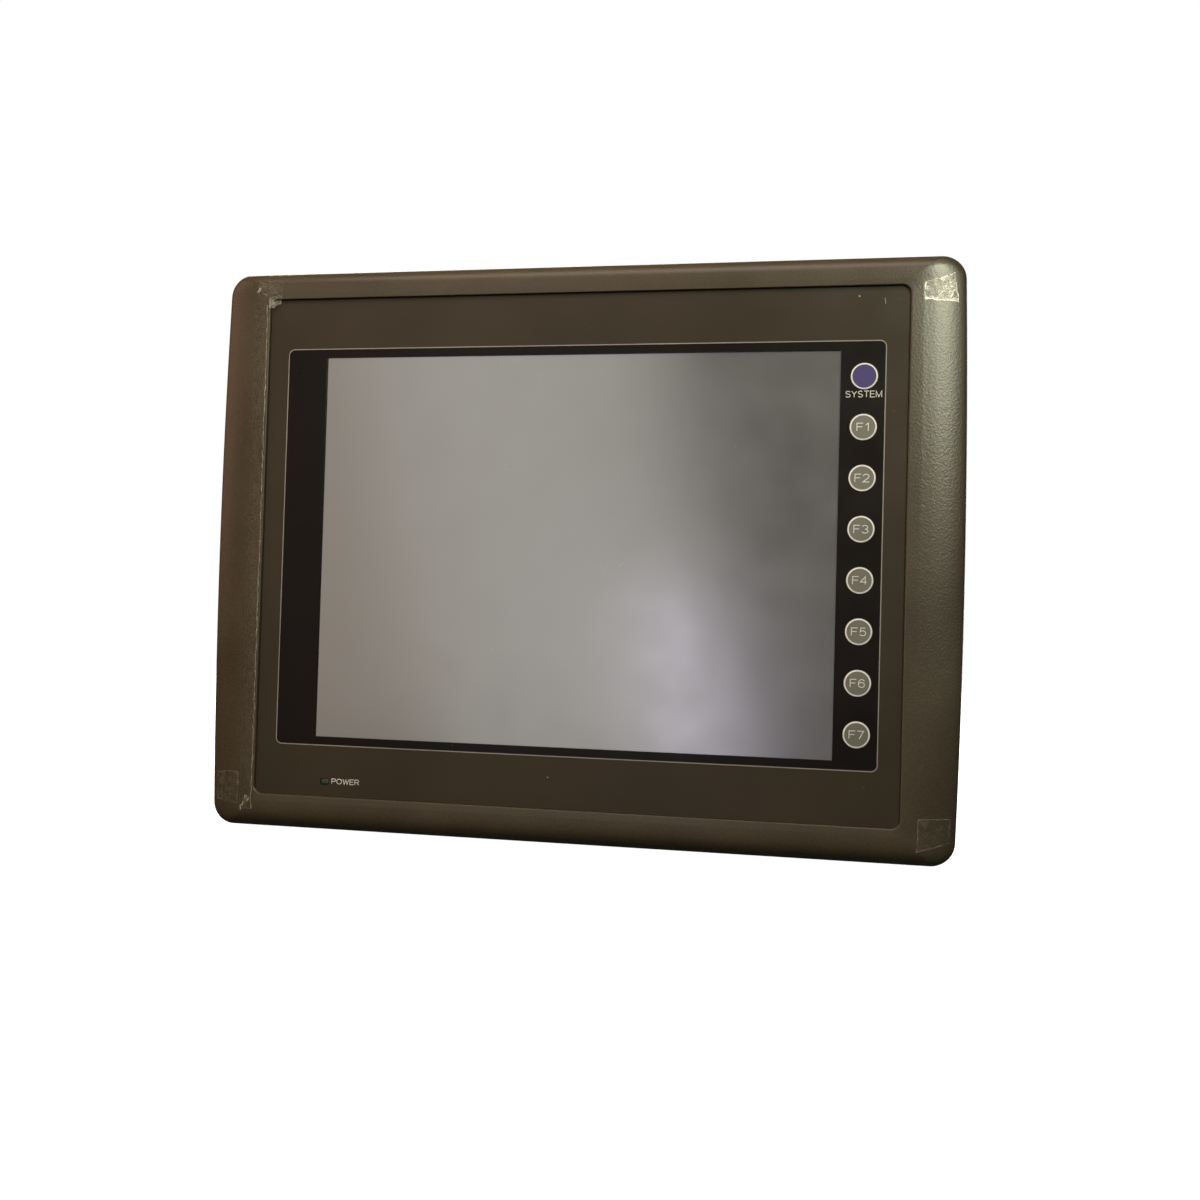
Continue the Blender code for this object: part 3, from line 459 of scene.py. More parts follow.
# ------------------------------
# Touch film. The hard-coated polyester face of the touch panel, with the dark display seen
# through it. Its anti-glare coat turns lamps into soft bands, and the glass doubles them.
screen_film, shader, place = start_material("antiglare_hard_coated_polyester")
cloud = add_node(screen_film, "TexNoise", {"Vector": place, "Scale": 34.0, "Detail": 5.0, "Roughness": 0.6})
tint = add_node(screen_film, "ValToRGB", {"Fac": cloud})
set_stops(tint, (0.3, "2A2826"), (0.7, "302E2B"))
specks = add_node(screen_film, "TexVoronoi", {"Vector": place, "Scale": 70.0, "Randomness": 1.0})
dust = add_node(
    screen_film,
    "MapRange",
    {"Value": specks, "From Min": 0.014, "From Max": 0.022, "To Min": 0.5, "To Max": 0.0},
)
dusty = add_node(screen_film, "Mix", {"Factor": dust, 6: tint, 7: linear("A6A29A")}, data_type="RGBA")
smear = add_node(screen_film, "TexNoise", {"Vector": place, "Scale": 60.0, "Detail": 4.0})
matt = add_node(
    screen_film,
    "MapRange",
    {"Value": smear, "From Min": 0.3, "From Max": 0.7, "To Min": 0.19, "To Max": 0.23},
)
sparkle = add_node(screen_film, "TexNoise", {"Vector": place, "Scale": 1600.0, "Detail": 1.0})
rough = add_node(screen_film, "Bump", {"Height": sparkle, "Distance": 0.000004, "Strength": 0.3})
set_inputs(
    shader,
    {
        "Base Color": dusty.outputs[2],
        "Roughness": matt,
        "Normal": rough,
        "IOR": 1.9,
        "Specular IOR Level": 0.8,
    },
)


def round_edges(bm, edges, offset, segments):
    bmesh.ops.bevel(
        bm,
        geom=edges,
        offset=offset,
        segments=segments,
        profile=0.5,
        affect="EDGES",
        material=-1,
    )


bm = bmesh.new()
bmesh.ops.create_cube(bm, size=1.0, matrix=Matrix.Diagonal((214.0, 0.2, 161.2, 1.0)))
bmesh.ops.translate(bm, verts=bm.verts, vec=(0, -4.1, 0))
round_edges(bm, list(bm.edges), 0.04, 2)
touch_film = finish_piece("touch_film_face", bm, [screen_film], 30)
assign(touch_film, "panel", "touch_film")

# ------------------------------
# Function keys. Stiffened discs of the same printed film, one violet and seven grey, each
# with a pale printed ring. The legends are printed in the same pale ink.
key_names = ["key_system"] + [f"key_f{index}" for index in range(1, 8)]
ring_ink = printed_film("printed_polyester_white_ring", "EEEEE8", "F5F5EF", 0.45)
grey_ink = printed_film("printed_polyester_olive_grey", "6A6C60", "727468", 0.42, 0.3)
violet_ink = printed_film("printed_polyester_violet", "3A2D74", "42347C", 0.42, 0.2)
legend_ink = printed_film("printed_legend_pale_grey", "DADAD2", "E6E6DE", 0.5)
KEY_RADIUS = 5.1
RING_WIDTH = 0.58
KEY_FACE_Y = -5.05

for name, centre in zip(key_names, KEY_CENTRES):
    bm = bmesh.new()
    bmesh.ops.create_cone(
        bm,
        cap_ends=True,
        segments=72,
        radius1=KEY_RADIUS,
        radius2=KEY_RADIUS,
        depth=0.55,
        matrix=Matrix.Rotation(math.radians(90), 4, "X"),
    )
    bmesh.ops.translate(bm, verts=bm.verts, vec=(centre[0], KEY_FACE_Y + 0.275, centre[1]))
    front = [face for face in bm.faces if face.normal.y < -0.9]
    rim = [edge for face in front for edge in face.edges]
    round_edges(bm, rim, 0.1, 3)
    front = [face for face in bm.faces if face.normal.y < -0.99 and len(face.verts) > 8]
    bmesh.ops.inset_region(bm, faces=front, thickness=RING_WIDTH - 0.1, use_even_offset=True)
    for face in front:
        face.material_index = 1
    back = [face for face in bm.faces if face.normal.y > 0.99 and len(face.verts) > 8]
    bmesh.ops.inset_region(bm, faces=back, thickness=KEY_RADIUS - 2.5, use_even_offset=True)
    extrude(bm, back, (0, 0.7, 0))
    ink = violet_ink if name == "key_system" else grey_ink
    key = finish_piece(name + "_disc", bm, [ring_ink, ink], 30)
    assign(key, name + "_body", name)


def bend(centre, radii, start, end, steps=14):
    """Points along part of an ellipse, from one angle to another in degrees."""
    points = []
    for step in range(steps + 1):
        angle = math.radians(start + (end - start) * step / steps)
        points.append((centre[0] + radii[0] * math.cos(angle), centre[1] + radii[1] * math.sin(angle)))
    return points


BOWL = bend((0.36, 0.74), (0.26, 0.26), 90, -90)
PEN_STROKES = {
    # the strokes of each character, drawn one unit high, and its width
    "1": ([[(0.04, 0.76), (0.3, 1.0), (0.3, 0.0)]], 0.42),
    "2": ([bend((0.3, 0.72), (0.29, 0.28), 170, -38) + [(0.0, 0.0), (0.61, 0.0)]], 0.61),
    "3": (
        [bend((0.28, 0.755), (0.26, 0.245), 160, -90), bend((0.28, 0.255), (0.3, 0.255), 90, -160)],
        0.58,
    ),
    "4": ([[(0.47, 0.0), (0.47, 1.0), (0.0, 0.3), (0.64, 0.3)]], 0.64),
    "5": ([[(0.55, 1.0), (0.11, 1.0), (0.05, 0.5)] + bend((0.29, 0.33), (0.3, 0.32), 125, -150)], 0.59),
    "6": (
        [
            bend((0.31, 0.31), (0.3, 0.31), 0, 350, 24),
            bend((0.33, 0.5), (0.32, 0.5), 38, 180) + [(0.01, 0.31)],
        ],
        0.61,
    ),
    "7": ([[(0.0, 1.0), (0.6, 1.0), (0.2, 0.0)]], 0.6),
    "E": ([[(0.62, 0.0), (0.0, 0.0), (0.0, 1.0), (0.6, 1.0)], [(0.0, 0.53), (0.55, 0.53)]], 0.62),
    "F": ([[(0.0, 0.0), (0.0, 1.0), (0.6, 1.0)], [(0.0, 0.53), (0.52, 0.53)]], 0.6),
    "M": ([[(0.0, 0.0), (0.0, 1.0), (0.39, 0.04), (0.78, 1.0), (0.78, 0.0)]], 0.78),
    "O": ([bend((0.4, 0.5), (0.4, 0.5), 0, 352, 30)], 0.8),
    "P": ([[(0.0, 0.0), (0.0, 1.0)] + BOWL + [(0.0, 0.48)]], 0.62),
    "R": ([[(0.0, 0.0), (0.0, 1.0)] + BOWL + [(0.0, 0.48)], [(0.34, 0.48), (0.64, 0.0)]], 0.64),
    "S": (
        [bend((0.32, 0.75), (0.29, 0.25), 20, 262) + bend((0.32, 0.25), (0.31, 0.25), 80, -160)],
        0.64,
    ),
    "T": ([[(0.0, 1.0), (0.68, 1.0)], [(0.34, 1.0), (0.34, 0.0)]], 0.68),
    "W": ([[(0.0, 1.0), (0.24, 0.0), (0.48, 0.95), (0.72, 0.0), (0.96, 1.0)]], 0.96),
    "Y": ([[(0.0, 1.0), (0.35, 0.47), (0.7, 1.0)], [(0.35, 0.47), (0.35, 0.0)]], 0.7),
}
LETTER_GAP = 0.2
INK_HEIGHT = 0.02


def ink_stroke(bm, points, width, y):
    """One stroke of ink along the points, with square ends and mitred corners."""
    path = [Vector(point) for point in points]
    sections = []
    for index, point in enumerate(path):
        before = path[max(index - 1, 0)]
        after = path[min(index + 1, len(path) - 1)]
        into = (point - before) if index else (after - point)
        out = (after - point) if index < len(path) - 1 else into
        into.normalize()
        out.normalize()
        along = (into + out).normalized() if (into + out).length > 0.05 else into
        half = 0.5 * width / max(0.35, along.dot(into))
        across = Vector((-along.y, along.x)) * half
        left, right = point + across, point - across
        sections.append(
            loop_edges(
                bm,
                [
                    (left.x, y - INK_HEIGHT, left.y),
                    (right.x, y - INK_HEIGHT, right.y),
                    (right.x, y, right.y),
                    (left.x, y, left.y),
                ],
            )
        )
    for near, far in zip(sections, sections[1:]):
        bmesh.ops.bridge_loops(bm, edges=near + far)
    bmesh.ops.holes_fill(bm, edges=sections[0] + sections[-1], sides=0)


def print_legend(name, words, centre, size, y, body, width=0.32):
    """Characters drawn with an even stroke of raised ink, fitted to a width and a height."""
    span = sum(PEN_STROKES[letter][1] for letter in words) + LETTER_GAP * (len(words) - 1)
    scale = ((size[0] - width) / span, size[1] - width)
    left, bottom = centre[0] - scale[0] * span / 2, centre[1] - scale[1] / 2
    bm = bmesh.new()
    for letter in words:
        strokes, advance = PEN_STROKES[letter]
        for stroke in strokes:
            points = [(left + scale[0] * x, bottom + scale[1] * z) for x, z in stroke]
            ink_stroke(bm, points, width, y)
        left += scale[0] * (advance + LETTER_GAP)
    bmesh.ops.recalc_face_normals(bm, faces=bm.faces)
    legend = finish_piece(name, bm, [legend_ink])
    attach(legend, body)


for index in range(1, 8):
    print_legend(
        f"key_f{index}_legend",
        f"F{index}",
        KEY_CENTRES[index],
        (5.7 if index > 1 else 5.1, 3.3),
        KEY_FACE_Y - 0.002,
        f"key_f{index}_body",
    )
print_legend("system_legend", "SYSTEM", (114.4, 62.0), (13.8, 2.6), ON_SHEET_Y, "panel", 0.28)
print_legend("power_legend", "POWER", (-91.4, -97.4), (12.1, 2.3), ON_SHEET_Y, "panel", 0.3)

# ------------------------------
# Wear on the front. A fine scratch across the touch film and a few pale specks of dried dust
# on the sheet, thin enough to leave no step.
dried_dust = printed_film("dried_dust_on_polyester", "A9A493", "C2BDAB", 0.7)
WEAR_MARKS = (
    # name, points along the mark, width, depth of the surface under it
    ("film_scratch_centre", ((13.0, -7.2), (16.0, -6.4), (19.5, -6.2), (22.0, -5.4)), 0.13, ON_FILM_Y),
    ("film_scratch_lower", ((-31.0, -41.0), (-27.5, -42.6)), 0.1, ON_FILM_Y),
    ("sheet_speck_upper", ((111.7, 100.1), (112.3, 99.9)), 0.5, ON_SHEET_Y),
    ("sheet_speck_right", ((121.6, 99.2), (121.9, 96.8)), 0.16, ON_SHEET_Y),
    ("sheet_speck_lower", ((-6.0, -91.2), (-5.6, -91.3)), 0.35, ON_SHEET_Y),
)
for name, points, width, y in WEAR_MARKS:
    bm = bmesh.new()
    ink_stroke(bm, points, width, y)
    bmesh.ops.recalc_face_normals(bm, faces=bm.faces)
    mark = finish_piece(name, bm, [dried_dust])
    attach(mark, "panel")

# ------------------------------
# Power lamp. A small lens moulded in dark green acrylic and pressed through the sheet. It is
# unlit, and the fine ribs on its face blur what lies behind it.
lens_green, shader, place = start_material("tinted_green_acrylic")
ribs = add_node(lens_green, "TexNoise", {"Vector": place, "Scale": 900.0})
rough = add_node(lens_green, "Bump", {"Height": ribs, "Distance": 0.00004, "Strength": 0.4})
set_inputs(shader, {"Base Color": linear("16301F"), "Roughness": 0.15, "Normal": rough, "IOR": 1.49})
bm = bmesh.new()
LENS_ROWS = (
    # half width, half height, corner radius, depth
    (1.2, 0.7, 0.35, -5.0),
    (1.6, 1.0, 0.6, -4.9),
    (1.7, 1.1, 0.7, -4.7),
    (1.7, 1.1, 0.7, -1.9),
)
loops = [flat_loop(bm, row[0:2], row[2], LED_CENTRE, row[3]) for row in LENS_ROWS]
bridge_all(bm, loops)
lens = finish_piece("power_lamp_lens", bm, [lens_green], 40)
assign(lens, "panel", "power_led")

# ------------------------------
# Tape remains. Clear packing tape was stuck over three corners and down the left edge, and
# torn scraps of it are left. Thin, crinkled and a little milky, whiter along torn edges. The
# milky whiteness is partly painted sheen: it is set far stronger on the upper right scrap,
# where the key lamp's highlight falls, than on the other scraps.
# The pale grey colour, shown where the tape is milky or torn, is partly painted sheen.
tape_film, shader, place = start_material("torn_clear_tape")
rim = add_node(tape_film, "Attribute", attribute_name="torn_edge_and_sheen").outputs["Fac"]
crinkle = add_node(
    tape_film, "TexNoise", {"Vector": place, "Scale": 420.0, "Detail": 4.0, "Roughness": 0.65}
)
haze = add_node(tape_film, "Attribute", attribute_name="milkiness_and_sheen").outputs["Fac"]
patchy = add_node(
    tape_film,
    "MapRange",
    {"Value": crinkle, "From Min": 0.45, "From Max": 0.7, "To Min": 0.25, "To Max": 1.6},
)
milky = add_node(tape_film, "Math", {0: haze, 1: patchy}, operation="MULTIPLY")
torn = add_node(tape_film, "Math", {0: rim, 1: crinkle}, operation="MULTIPLY")
cover = add_node(tape_film, "Math", {0: torn, 1: 1.5, 2: milky}, operation="MULTIPLY_ADD")
grey = add_node(tape_film, "ValToRGB", {"Fac": crinkle})
set_stops(grey, (0.35, "A59F8A"), (0.7, "E6E2D2"))
folds = add_node(tape_film, "Bump", {"Height": crinkle, "Distance": 0.0006, "Strength": 0.6})
set_inputs(shader, {"Base Color": grey, "Roughness": 0.22, "Alpha": cover, "Normal": folds, "IOR": 1.5})

TAPE_SCRAPS = (
    # name, four corners as (x, z) from the upper left one clockwise, spans, raggedness in mm,
    # milkiness (partly painted sheen), how white its left, right, upper and lower edges are
    # (partly painted sheen), and the depth at which it bridges the recess
    # Painted sheen: this scrap's high milkiness and white edges stand for the key lamp's highlight.
    (
        "tape_scrap_upper_right",
        ((136.2, 104.6), (147.4, 108.6), (149.2, 97.2), (136.2, 98.0)),
        (40, 0.3, 0.46, (1.3, 0.9, 0.4, 1.3), -5.0),
    ),
    (
        "tape_scrap_lower_right",
        ((137.8, -99.6), (150.0, -99.2), (149.8, -108.5), (137.6, -112.2)),
        (40, 0.25, 0.03, (0.3, 0.1, 0.32, 0.3), -5.0),
    ),
    (
        "tape_scrap_lower_left",
        ((-149.6, -95.6), (-138.8, -95.2), (-138.5, -108.6), (-149.2, -107.4)),
        (40, 0.25, 0.03, (0.08, 0.15, 0.15, 0.08), -5.0),
    ),
    (
        "tape_strip_left",
        ((-137.8, 103.0), (-132.3, 101.6), (-132.2, -110.6), (-137.8, -110.8)),
        (300, 0.3, 0.01, (0.02, 0.6, 0.1, 0.1), -5.0),
    ),
    (
        "tape_scrap_upper_left",
        ((-137.0, 112.0), (-126.0, 112.0), (-126.2, 105.6), (-136.8, 105.2)),
        (40, 0.4, 0.035, (0.05, 0.1, 0.05, 0.08), -5.0),
    ),
    (
        "tape_scrap_sheet_corner",
        ((-131.6, 105.2), (-125.9, 105.5), (-126.5, 101.6), (-132.3, 100.1)),
        (30, 0.5, 0.26, (0.3, 0.35, 0.3, 0.35), -6.4),
    ),
    (
        "tape_flake_upper_left_1",
        ((-138.1, 107.0), (-136.5, 109.0), (-135.9, 108.2), (-137.6, 106.3)),
        (30, 0.4, 0.4, (0.5, 0.5, 0.5, 0.5), -5.0),
    ),
    (
        "tape_flake_upper_left_2",
        ((-135.5, 107.5), (-133.1, 106.6), (-132.9, 105.8), (-135.1, 106.6)),
        (30, 0.4, 0.4, (0.5, 0.5, 0.5, 0.5), -5.0),
    ),
    (
        "tape_flake_lower_left",
        ((-135.8, -105.0), (-133.4, -104.4), (-134.4, -107.6), (-137.6, -111.6)),
        (30, 0.7, 0.3, (0.5, 0.4, 0.4, 0.5), -5.0),
    ),
)
TAPE_THICK = 0.04
TORN_BAND = 0.42
RAGGED_BAND = 2.4
for seed, (name, corners, (spans, ragged, milkiness_and_sheen, edge_white_and_sheen, bridge)) in enumerate(TAPE_SCRAPS):
    bm = bmesh.new()
    bmesh.ops.create_grid(bm, x_segments=36, y_segments=spans, size=0.5)
    torn_edge_and_sheen = bm.verts.layers.float.new("torn_edge_and_sheen")
    milky_sheen_layer = bm.verts.layers.float.new("milkiness_and_sheen")
    upper_left, upper_right, lower_right, lower_left = (Vector(corner) for corner in corners)
    width = (upper_right - upper_left).length
    height = (lower_left - upper_left).length
    for vert in bm.verts:
        u, v = vert.co.x + 0.5, 0.5 - vert.co.y
        point = upper_left.lerp(upper_right, u).lerp(lower_left.lerp(lower_right, u), v)
        to_edges = (u * width, (1 - u) * width, v * height, (1 - v) * height)
        # The edge whiteness and milkiness carry painted sheen as well as the tape's own whiteness.
        vert[torn_edge_and_sheen] = max(
            white * max(0.0, 1 - away / TORN_BAND) for white, away in zip(edge_white_and_sheen, to_edges)
        )
        vert[milky_sheen_layer] = milkiness_and_sheen
        wobble = noise.noise_vector(Vector((point.x * 0.4, point.y * 0.4, 7.0 * seed)))
        finer = noise.noise_vector(Vector((point.x * 1.6, point.y * 1.6, 5.0 * seed)))
        wobble += finer * 0.3
        fade = max(0.0, 1 - min(to_edges) / RAGGED_BAND)
        point += Vector((wobble.x, wobble.y)) * ragged * 1.6 * fade
        under = bezel_surface.ray_cast(Vector((point.x, -30.0, point.y)), Vector((0, 1, 0)))[0]
        depth = under.y
        if abs(point.x) < 130.9 and abs(point.y) < 103.5:
            depth = min(depth, bridge)
        lift = 0.1 * max(0.0, noise.noise(Vector((point.x * 0.5, point.y * 0.5, 3.0 * seed))))
        vert.co = Vector((point.x, depth - 0.05 - lift, point.y))
    extrude(bm, list(bm.faces), (0, TAPE_THICK, 0), keep=True)
    scrap = finish_piece(name, bm, [tape_film], 50)
    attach(scrap, "panel")

# ------------------------------
# Panel gasket. A ring of closed-cell black rubber foam pressed into the groove behind the
# bezel, with soft rounded edges. Its pores make it quite dull.
foam, shader, place = start_material("closed_cell_black_rubber")
pores = add_node(foam, "TexVoronoi", {"Vector": place, "Scale": 1300.0})
shade = add_node(foam, "ValToRGB", {"Fac": pores})
set_stops(shade, (0.1, "0C0C0C"), (0.6, "1D1C1B"))
rough = add_node(foam, "Bump", {"Height": pores, "Distance": 0.00015, "Strength": 0.6})
set_inputs(shader, {"Base Color": shade, "Roughness": 0.85, "Normal": rough, "IOR": 1.52})
GASKET_RINGS = (
    # inset from the outer edge, depth
    (0.0, -1.5),
    (0.0, -0.5),
    (0.15, -0.15),
    (0.5, 0.0),
    (2.9, 0.0),
    (3.25, -0.15),
    (3.4, -0.5),
    (3.4, -1.5),
    (3.25, -1.85),
    (2.9, -2.0),
    (0.5, -2.0),
    (0.15, -1.85),
)
bm = bmesh.new()
loops = []
for inset, y in GASKET_RINGS:
    points = rounded_loop((149.6 - inset, 113.8 - inset), 7.3 - 0.7 * inset, y)
    loops.append(loop_edges(bm, points))
bridge_all(bm, loops, endless=True)
gasket = finish_piece("gasket_ring", bm, [foam], 50)
assign(gasket, "panel", "panel_gasket")

# ------------------------------
# Rear cover. One deep moulding in charcoal ABS: a skirt that meets the bezel, a step for
# four screws, and a hump over the boards with vents and connector openings.


def moulded_plastic(name, dark, light, roughness, grain_scale, specular=0.4):
    """Plastic with a fine mould texture, faint clouds in its colour and a few rubbed spots."""
    plastic, shader, place = start_material(name)
    cloud = add_node(plastic, "TexNoise", {"Vector": place, "Scale": 40.0, "Detail": 4.0})
    tint = add_node(plastic, "ValToRGB", {"Fac": cloud})
    set_stops(tint, (0.35, dark), (0.65, light))
    rubbed = add_node(
        plastic,
        "MapRange",
        {
            "Value": cloud,
            "From Min": 0.3,
            "From Max": 0.7,
            "To Min": roughness - 0.05,
            "To Max": roughness + 0.06,
        },
    )
    grain = add_node(plastic, "TexNoise", {"Vector": place, "Scale": grain_scale, "Detail": 2.0})
    texture = add_node(plastic, "Bump", {"Height": grain, "Distance": 0.00006, "Strength": 0.45})
    set_inputs(
        shader,
        {
            "Base Color": tint,
            "Roughness": rubbed,
            "Normal": texture,
            "IOR": 1.53,
            "Specular IOR Level": specular,
        },
    )
    return plastic


def add_box(bm, centre, size, ys, rounding=0.0, segments=2):
    """Adds a box centred on (x, z) between two depths, with its edges rounded."""
    middle = Matrix.Translation((centre[0], sum(ys) / 2, centre[1]))
    stretch = Matrix.Diagonal((size[0], ys[1] - ys[0], size[1], 1.0))
    made = bmesh.ops.create_cube(bm, size=1.0, matrix=middle @ stretch)["verts"]
    if rounding:
        round_edges(bm, list({edge for vert in made for edge in vert.link_edges}), rounding, segments)


def add_rod(bm, start, end, radius, steps=32, rounding=0.0):
    """Adds a round bar between two points, with the rims of its ends rounded."""
    start = Vector(start)
    along = Vector(end) - start
    turned = along.to_track_quat("Z", "Y").to_matrix().to_4x4()
    made = bmesh.ops.create_cone(
        bm,
        cap_ends=True,
        segments=steps,
        radius1=radius,
        radius2=radius,
        depth=along.length,
        matrix=Matrix.Translation(start + along / 2) @ turned,
    )["verts"]
    if rounding:
        caps = {face for vert in made for face in vert.link_faces if len(face.verts) == steps}
        round_edges(bm, list({edge for face in caps for edge in face.edges}), rounding, 3)


def add_turned(bm, centre, rows, steps=32):
    """Adds a turned shape whose axis runs along the depth: rows of radius and depth."""
    loops = [round_loop(bm, centre, radius, y, steps) for radius, y in rows]
    bridge_all(bm, loops)


def carve(solid, tool, operation="DIFFERENCE"):
    """Cuts one drawing out of another, or joins the two, and returns the result."""
    items = []
    for drawing in (solid, tool):
        bmesh.ops.recalc_face_normals(drawing, faces=drawing.faces)
        mesh = bpy.data.meshes.new("drawing")
        drawing.to_mesh(mesh)
        drawing.free()
        item = bpy.data.objects.new("drawing", mesh)
        bpy.context.scene.collection.objects.link(item)
        items.append(item)
    cut = items[0].modifiers.new("cut", "BOOLEAN")
    cut.operation = operation
    cut.solver = "EXACT"
    cut.use_self = True
    cut.object = items[1]
    graph = bpy.context.evaluated_depsgraph_get()
    made = bpy.data.meshes.new_from_object(items[0].evaluated_get(graph))
    result = bmesh.new()
    result.from_mesh(made)
    for mesh in (items[0].data, items[1].data, made):
        bpy.data.meshes.remove(mesh)
    return result


# Charcoal ABS with a coarser texture than the bezel: dull, with a soft broad sheen.
charcoal_abs = moulded_plastic("moulded_charcoal_abs", "33312C", "383530", 0.5, 1100.0)
COVER_BACK = 48.0
COVER_WALL = 3.0
COVER_RINGS = (
    # half width, half height, corner radius, depth
    (125.6, 89.6, 2.0, 48.0),
    (126.2, 90.2, 2.3, 47.86),
    (126.7, 90.7, 2.7, 47.4),
    (126.95, 90.95, 2.95, 46.9),
    (127.0, 91.0, 3.0, 46.4),
    (127.0, 91.0, 3.0, 20.8),
    (127.2, 91.2, 3.1, 20.25),
    (127.8, 91.8, 3.4, 20.0),
    (142.4, 106.0, 3.0, 20.0),
    (143.1, 106.7, 3.5, 19.7),
    (143.5, 107.1, 3.9, 19.2),
    (143.6, 107.2, 4.0, 18.6),
    (143.6, 107.2, 4.0, 6.6),
    (143.4, 107.0, 3.8, 6.3),
    (141.2, 104.8, 2.6, 6.3),
    (141.2, 104.8, 2.6, 17.5),
    (124.0, 88.0, 1.5, 17.5),
    (124.0, 88.0, 1.5, 45.0),
)
LEFT_BAY_X = -92.0
TERMINAL_DOOR = (LEFT_BAY_X, -50.0, 40.0, 26.0)
BATTERY_DOOR = (LEFT_BAY_X, 62.0, 42.0, 22.0)
CARD_DOOR = (38.5, 58.0, 14.0, 52.0)
HINGE_Y = COVER_BACK - 1.5
CARD_HINGE_X = 125.5
BOARD_Y = 31.9
SERIAL_AT = (-18.0, -66.0)
JACK_POST_SIDES = (-23.5, 23.5)
JACKS_AT = ((36.0, -66.0), (56.0, -66.0))
DIP_AT = (92.0, -64.0)
VENTS = 14
VENT_PITCH = 14.0

solid = bmesh.new()
loops = [loop_edges(solid, rounded_loop(row[0:2], row[2], row[3])) for row in COVER_RINGS]
bridge_all(solid, loops)
cup = bmesh.new()
x, z, width, height = BATTERY_DOOR
add_box(cup, (x, z - height / 2 + 0.6), (width + 6.0, height + 7.0), (26.0, 45.5))
solid = carve(solid, cup, "UNION")
tool = bmesh.new()
add_box(tool, (x, z - height / 2 + 0.6), (width - 2.0, height - 2.0), (28.0, 47.0))
through = (COVER_BACK - COVER_WALL - 1.0, COVER_BACK + 1.0)
for x, z, width, height in (TERMINAL_DOOR, BATTERY_DOOR):
    add_box(tool, (x, z + 0.9 - height / 2), (width + 0.6, height + 2.4), through)
    add_rod(tool, (x - width / 2 - 2.2, HINGE_Y, z), (x + width / 2 + 2.2, HINGE_Y, z), 0.9, 16)
add_box(tool, (LEFT_BAY_X, -78.5), (32.0, 6.0), through)
add_box(tool, SERIAL_AT, (39.6, 9.6), through, 1.2)
for side in JACK_POST_SIDES:
    x = SERIAL_AT[0] + side
    add_rod(tool, (x, through[0], SERIAL_AT[1]), (x, through[1], SERIAL_AT[1]), 1.8, 24)
for centre in JACKS_AT:
    add_box(tool, centre, (16.6, 14.6), through, 0.6)
add_box(tool, DIP_AT, (26.0, 13.0), through, 0.8)
for x, z in SCREW_PLACES:
    add_rod(tool, (x, 16.5, z), (x, 21.0, z), 1.8, 24)
for side in (-1, 1):
    for index in range(VENTS):
        x = (index - (VENTS - 1) / 2) * VENT_PITCH
        add_box(tool, (x, side * 89.5), (3.2, 5.0), (25.0, 41.0), 1.2, 3)
    for x in (-95.0, 95.0):
        add_box(tool, (x, side * 106.0), (20.0, 4.4), (10.5, 14.5))
y, z, width, height = CARD_DOOR
half = width / 2
add_box(tool, (CARD_HINGE_X, z + 0.9 - height / 2), (5.0, height + 2.4), (y - half - 0.3, y + half + 0.3))
add_rod(tool, (CARD_HINGE_X, y - half - 2.2, z), (CARD_HINGE_X, y + half + 2.2, z), 0.9, 16)
bm = carve(solid, tool)
rear_cover = finish_piece("rear_cover_moulding", bm, [charcoal_abs], 32)
softened = rear_cover.modifiers.new("softened_edges", "BEVEL")
softened.width = 0.3 * MM
softened.segments = 2
softened.limit_method = "ANGLE"
softened.angle_limit = math.radians(40)
softened.use_clamp_overlap = True
softened.harden_normals = False
assign(rear_cover, "panel", "rear_cover")

# ------------------------------
# Cover screws. Four zinc-plated steel pan heads with a cross recess. They hold the rear
# cover and are driven into the bosses of the bezel.


def plated_metal(name, dark, light, roughness):
    """Plated metal with faint stains and fine scratches that break up its reflections."""
    metal, shader, place = start_material(name)
    stain = add_node(metal, "TexNoise", {"Vector": place, "Scale": 160.0, "Detail": 4.0})
    tint = add_node(metal, "ValToRGB", {"Fac": stain})
    set_stops(tint, (0.35, dark), (0.65, light))
    worn = add_node(
        metal,
        "MapRange",
        {
            "Value": stain,
            "From Min": 0.3,
            "From Max": 0.7,
            "To Min": roughness - 0.08,
            "To Max": roughness + 0.1,
        },
    )
    stretched = add_node(metal, "Mapping", {"Vector": place, "Scale": (300.0, 300.0, 4000.0)})
    scratch = add_node(metal, "TexNoise", {"Vector": stretched, "Scale": 1.0})
    fine = add_node(metal, "Bump", {"Height": scratch, "Distance": 0.00002, "Strength": 0.35})
    set_inputs(
        shader,
        {"Base Color": tint, "Roughness": worn, "Normal": fine, "Metallic": 1.0, "IOR": 2.5},
    )
    return metal


def cross_recess(centre, top, size, depth):
    """The tool shape of a cross recess that narrows towards its floor."""
    tool = bmesh.new()
    for wide, high in ((size, size * 0.3), (size * 0.3, size)):
        made = bmesh.ops.create_cube(
            tool,
            size=1.0,
            matrix=Matrix.Translation((centre[0], top - depth / 2 + 0.1, centre[1]))
            @ Matrix.Diagonal((wide, depth + 0.2, high, 1.0)),
        )["verts"]
        for vert in made:
            if vert.co.y < top - depth / 2:
                vert.co.x = centre[0] + (vert.co.x - centre[0]) * 0.55
                vert.co.z = centre[1] + (vert.co.z - centre[1]) * 0.55
    return tool


# Bright zinc plate, slightly clouded: the heads stand out as small silver dots.
zinc = plated_metal("bright_zinc_plate", "8F8D86", "B4B1A8", 0.3)
for index, (x, z) in enumerate(SCREW_PLACES):
    bm = bmesh.new()
    rows = [(1.35, 22.3), (2.1, 22.2), (2.6, 21.85), (2.8, 21.4), (2.8, 20.3), (1.5, 20.3), (1.5, 11.3)]
    add_turned(bm, (x, z), rows)
    bm = carve(bm, cross_recess((x, z), 22.3, 2.6, 1.3))
    screw = finish_piece(f"cover_screw_{index + 1}", bm, [zinc], 35)
    assign(screw, "panel", f"rear_cover_screw_{index + 1}")

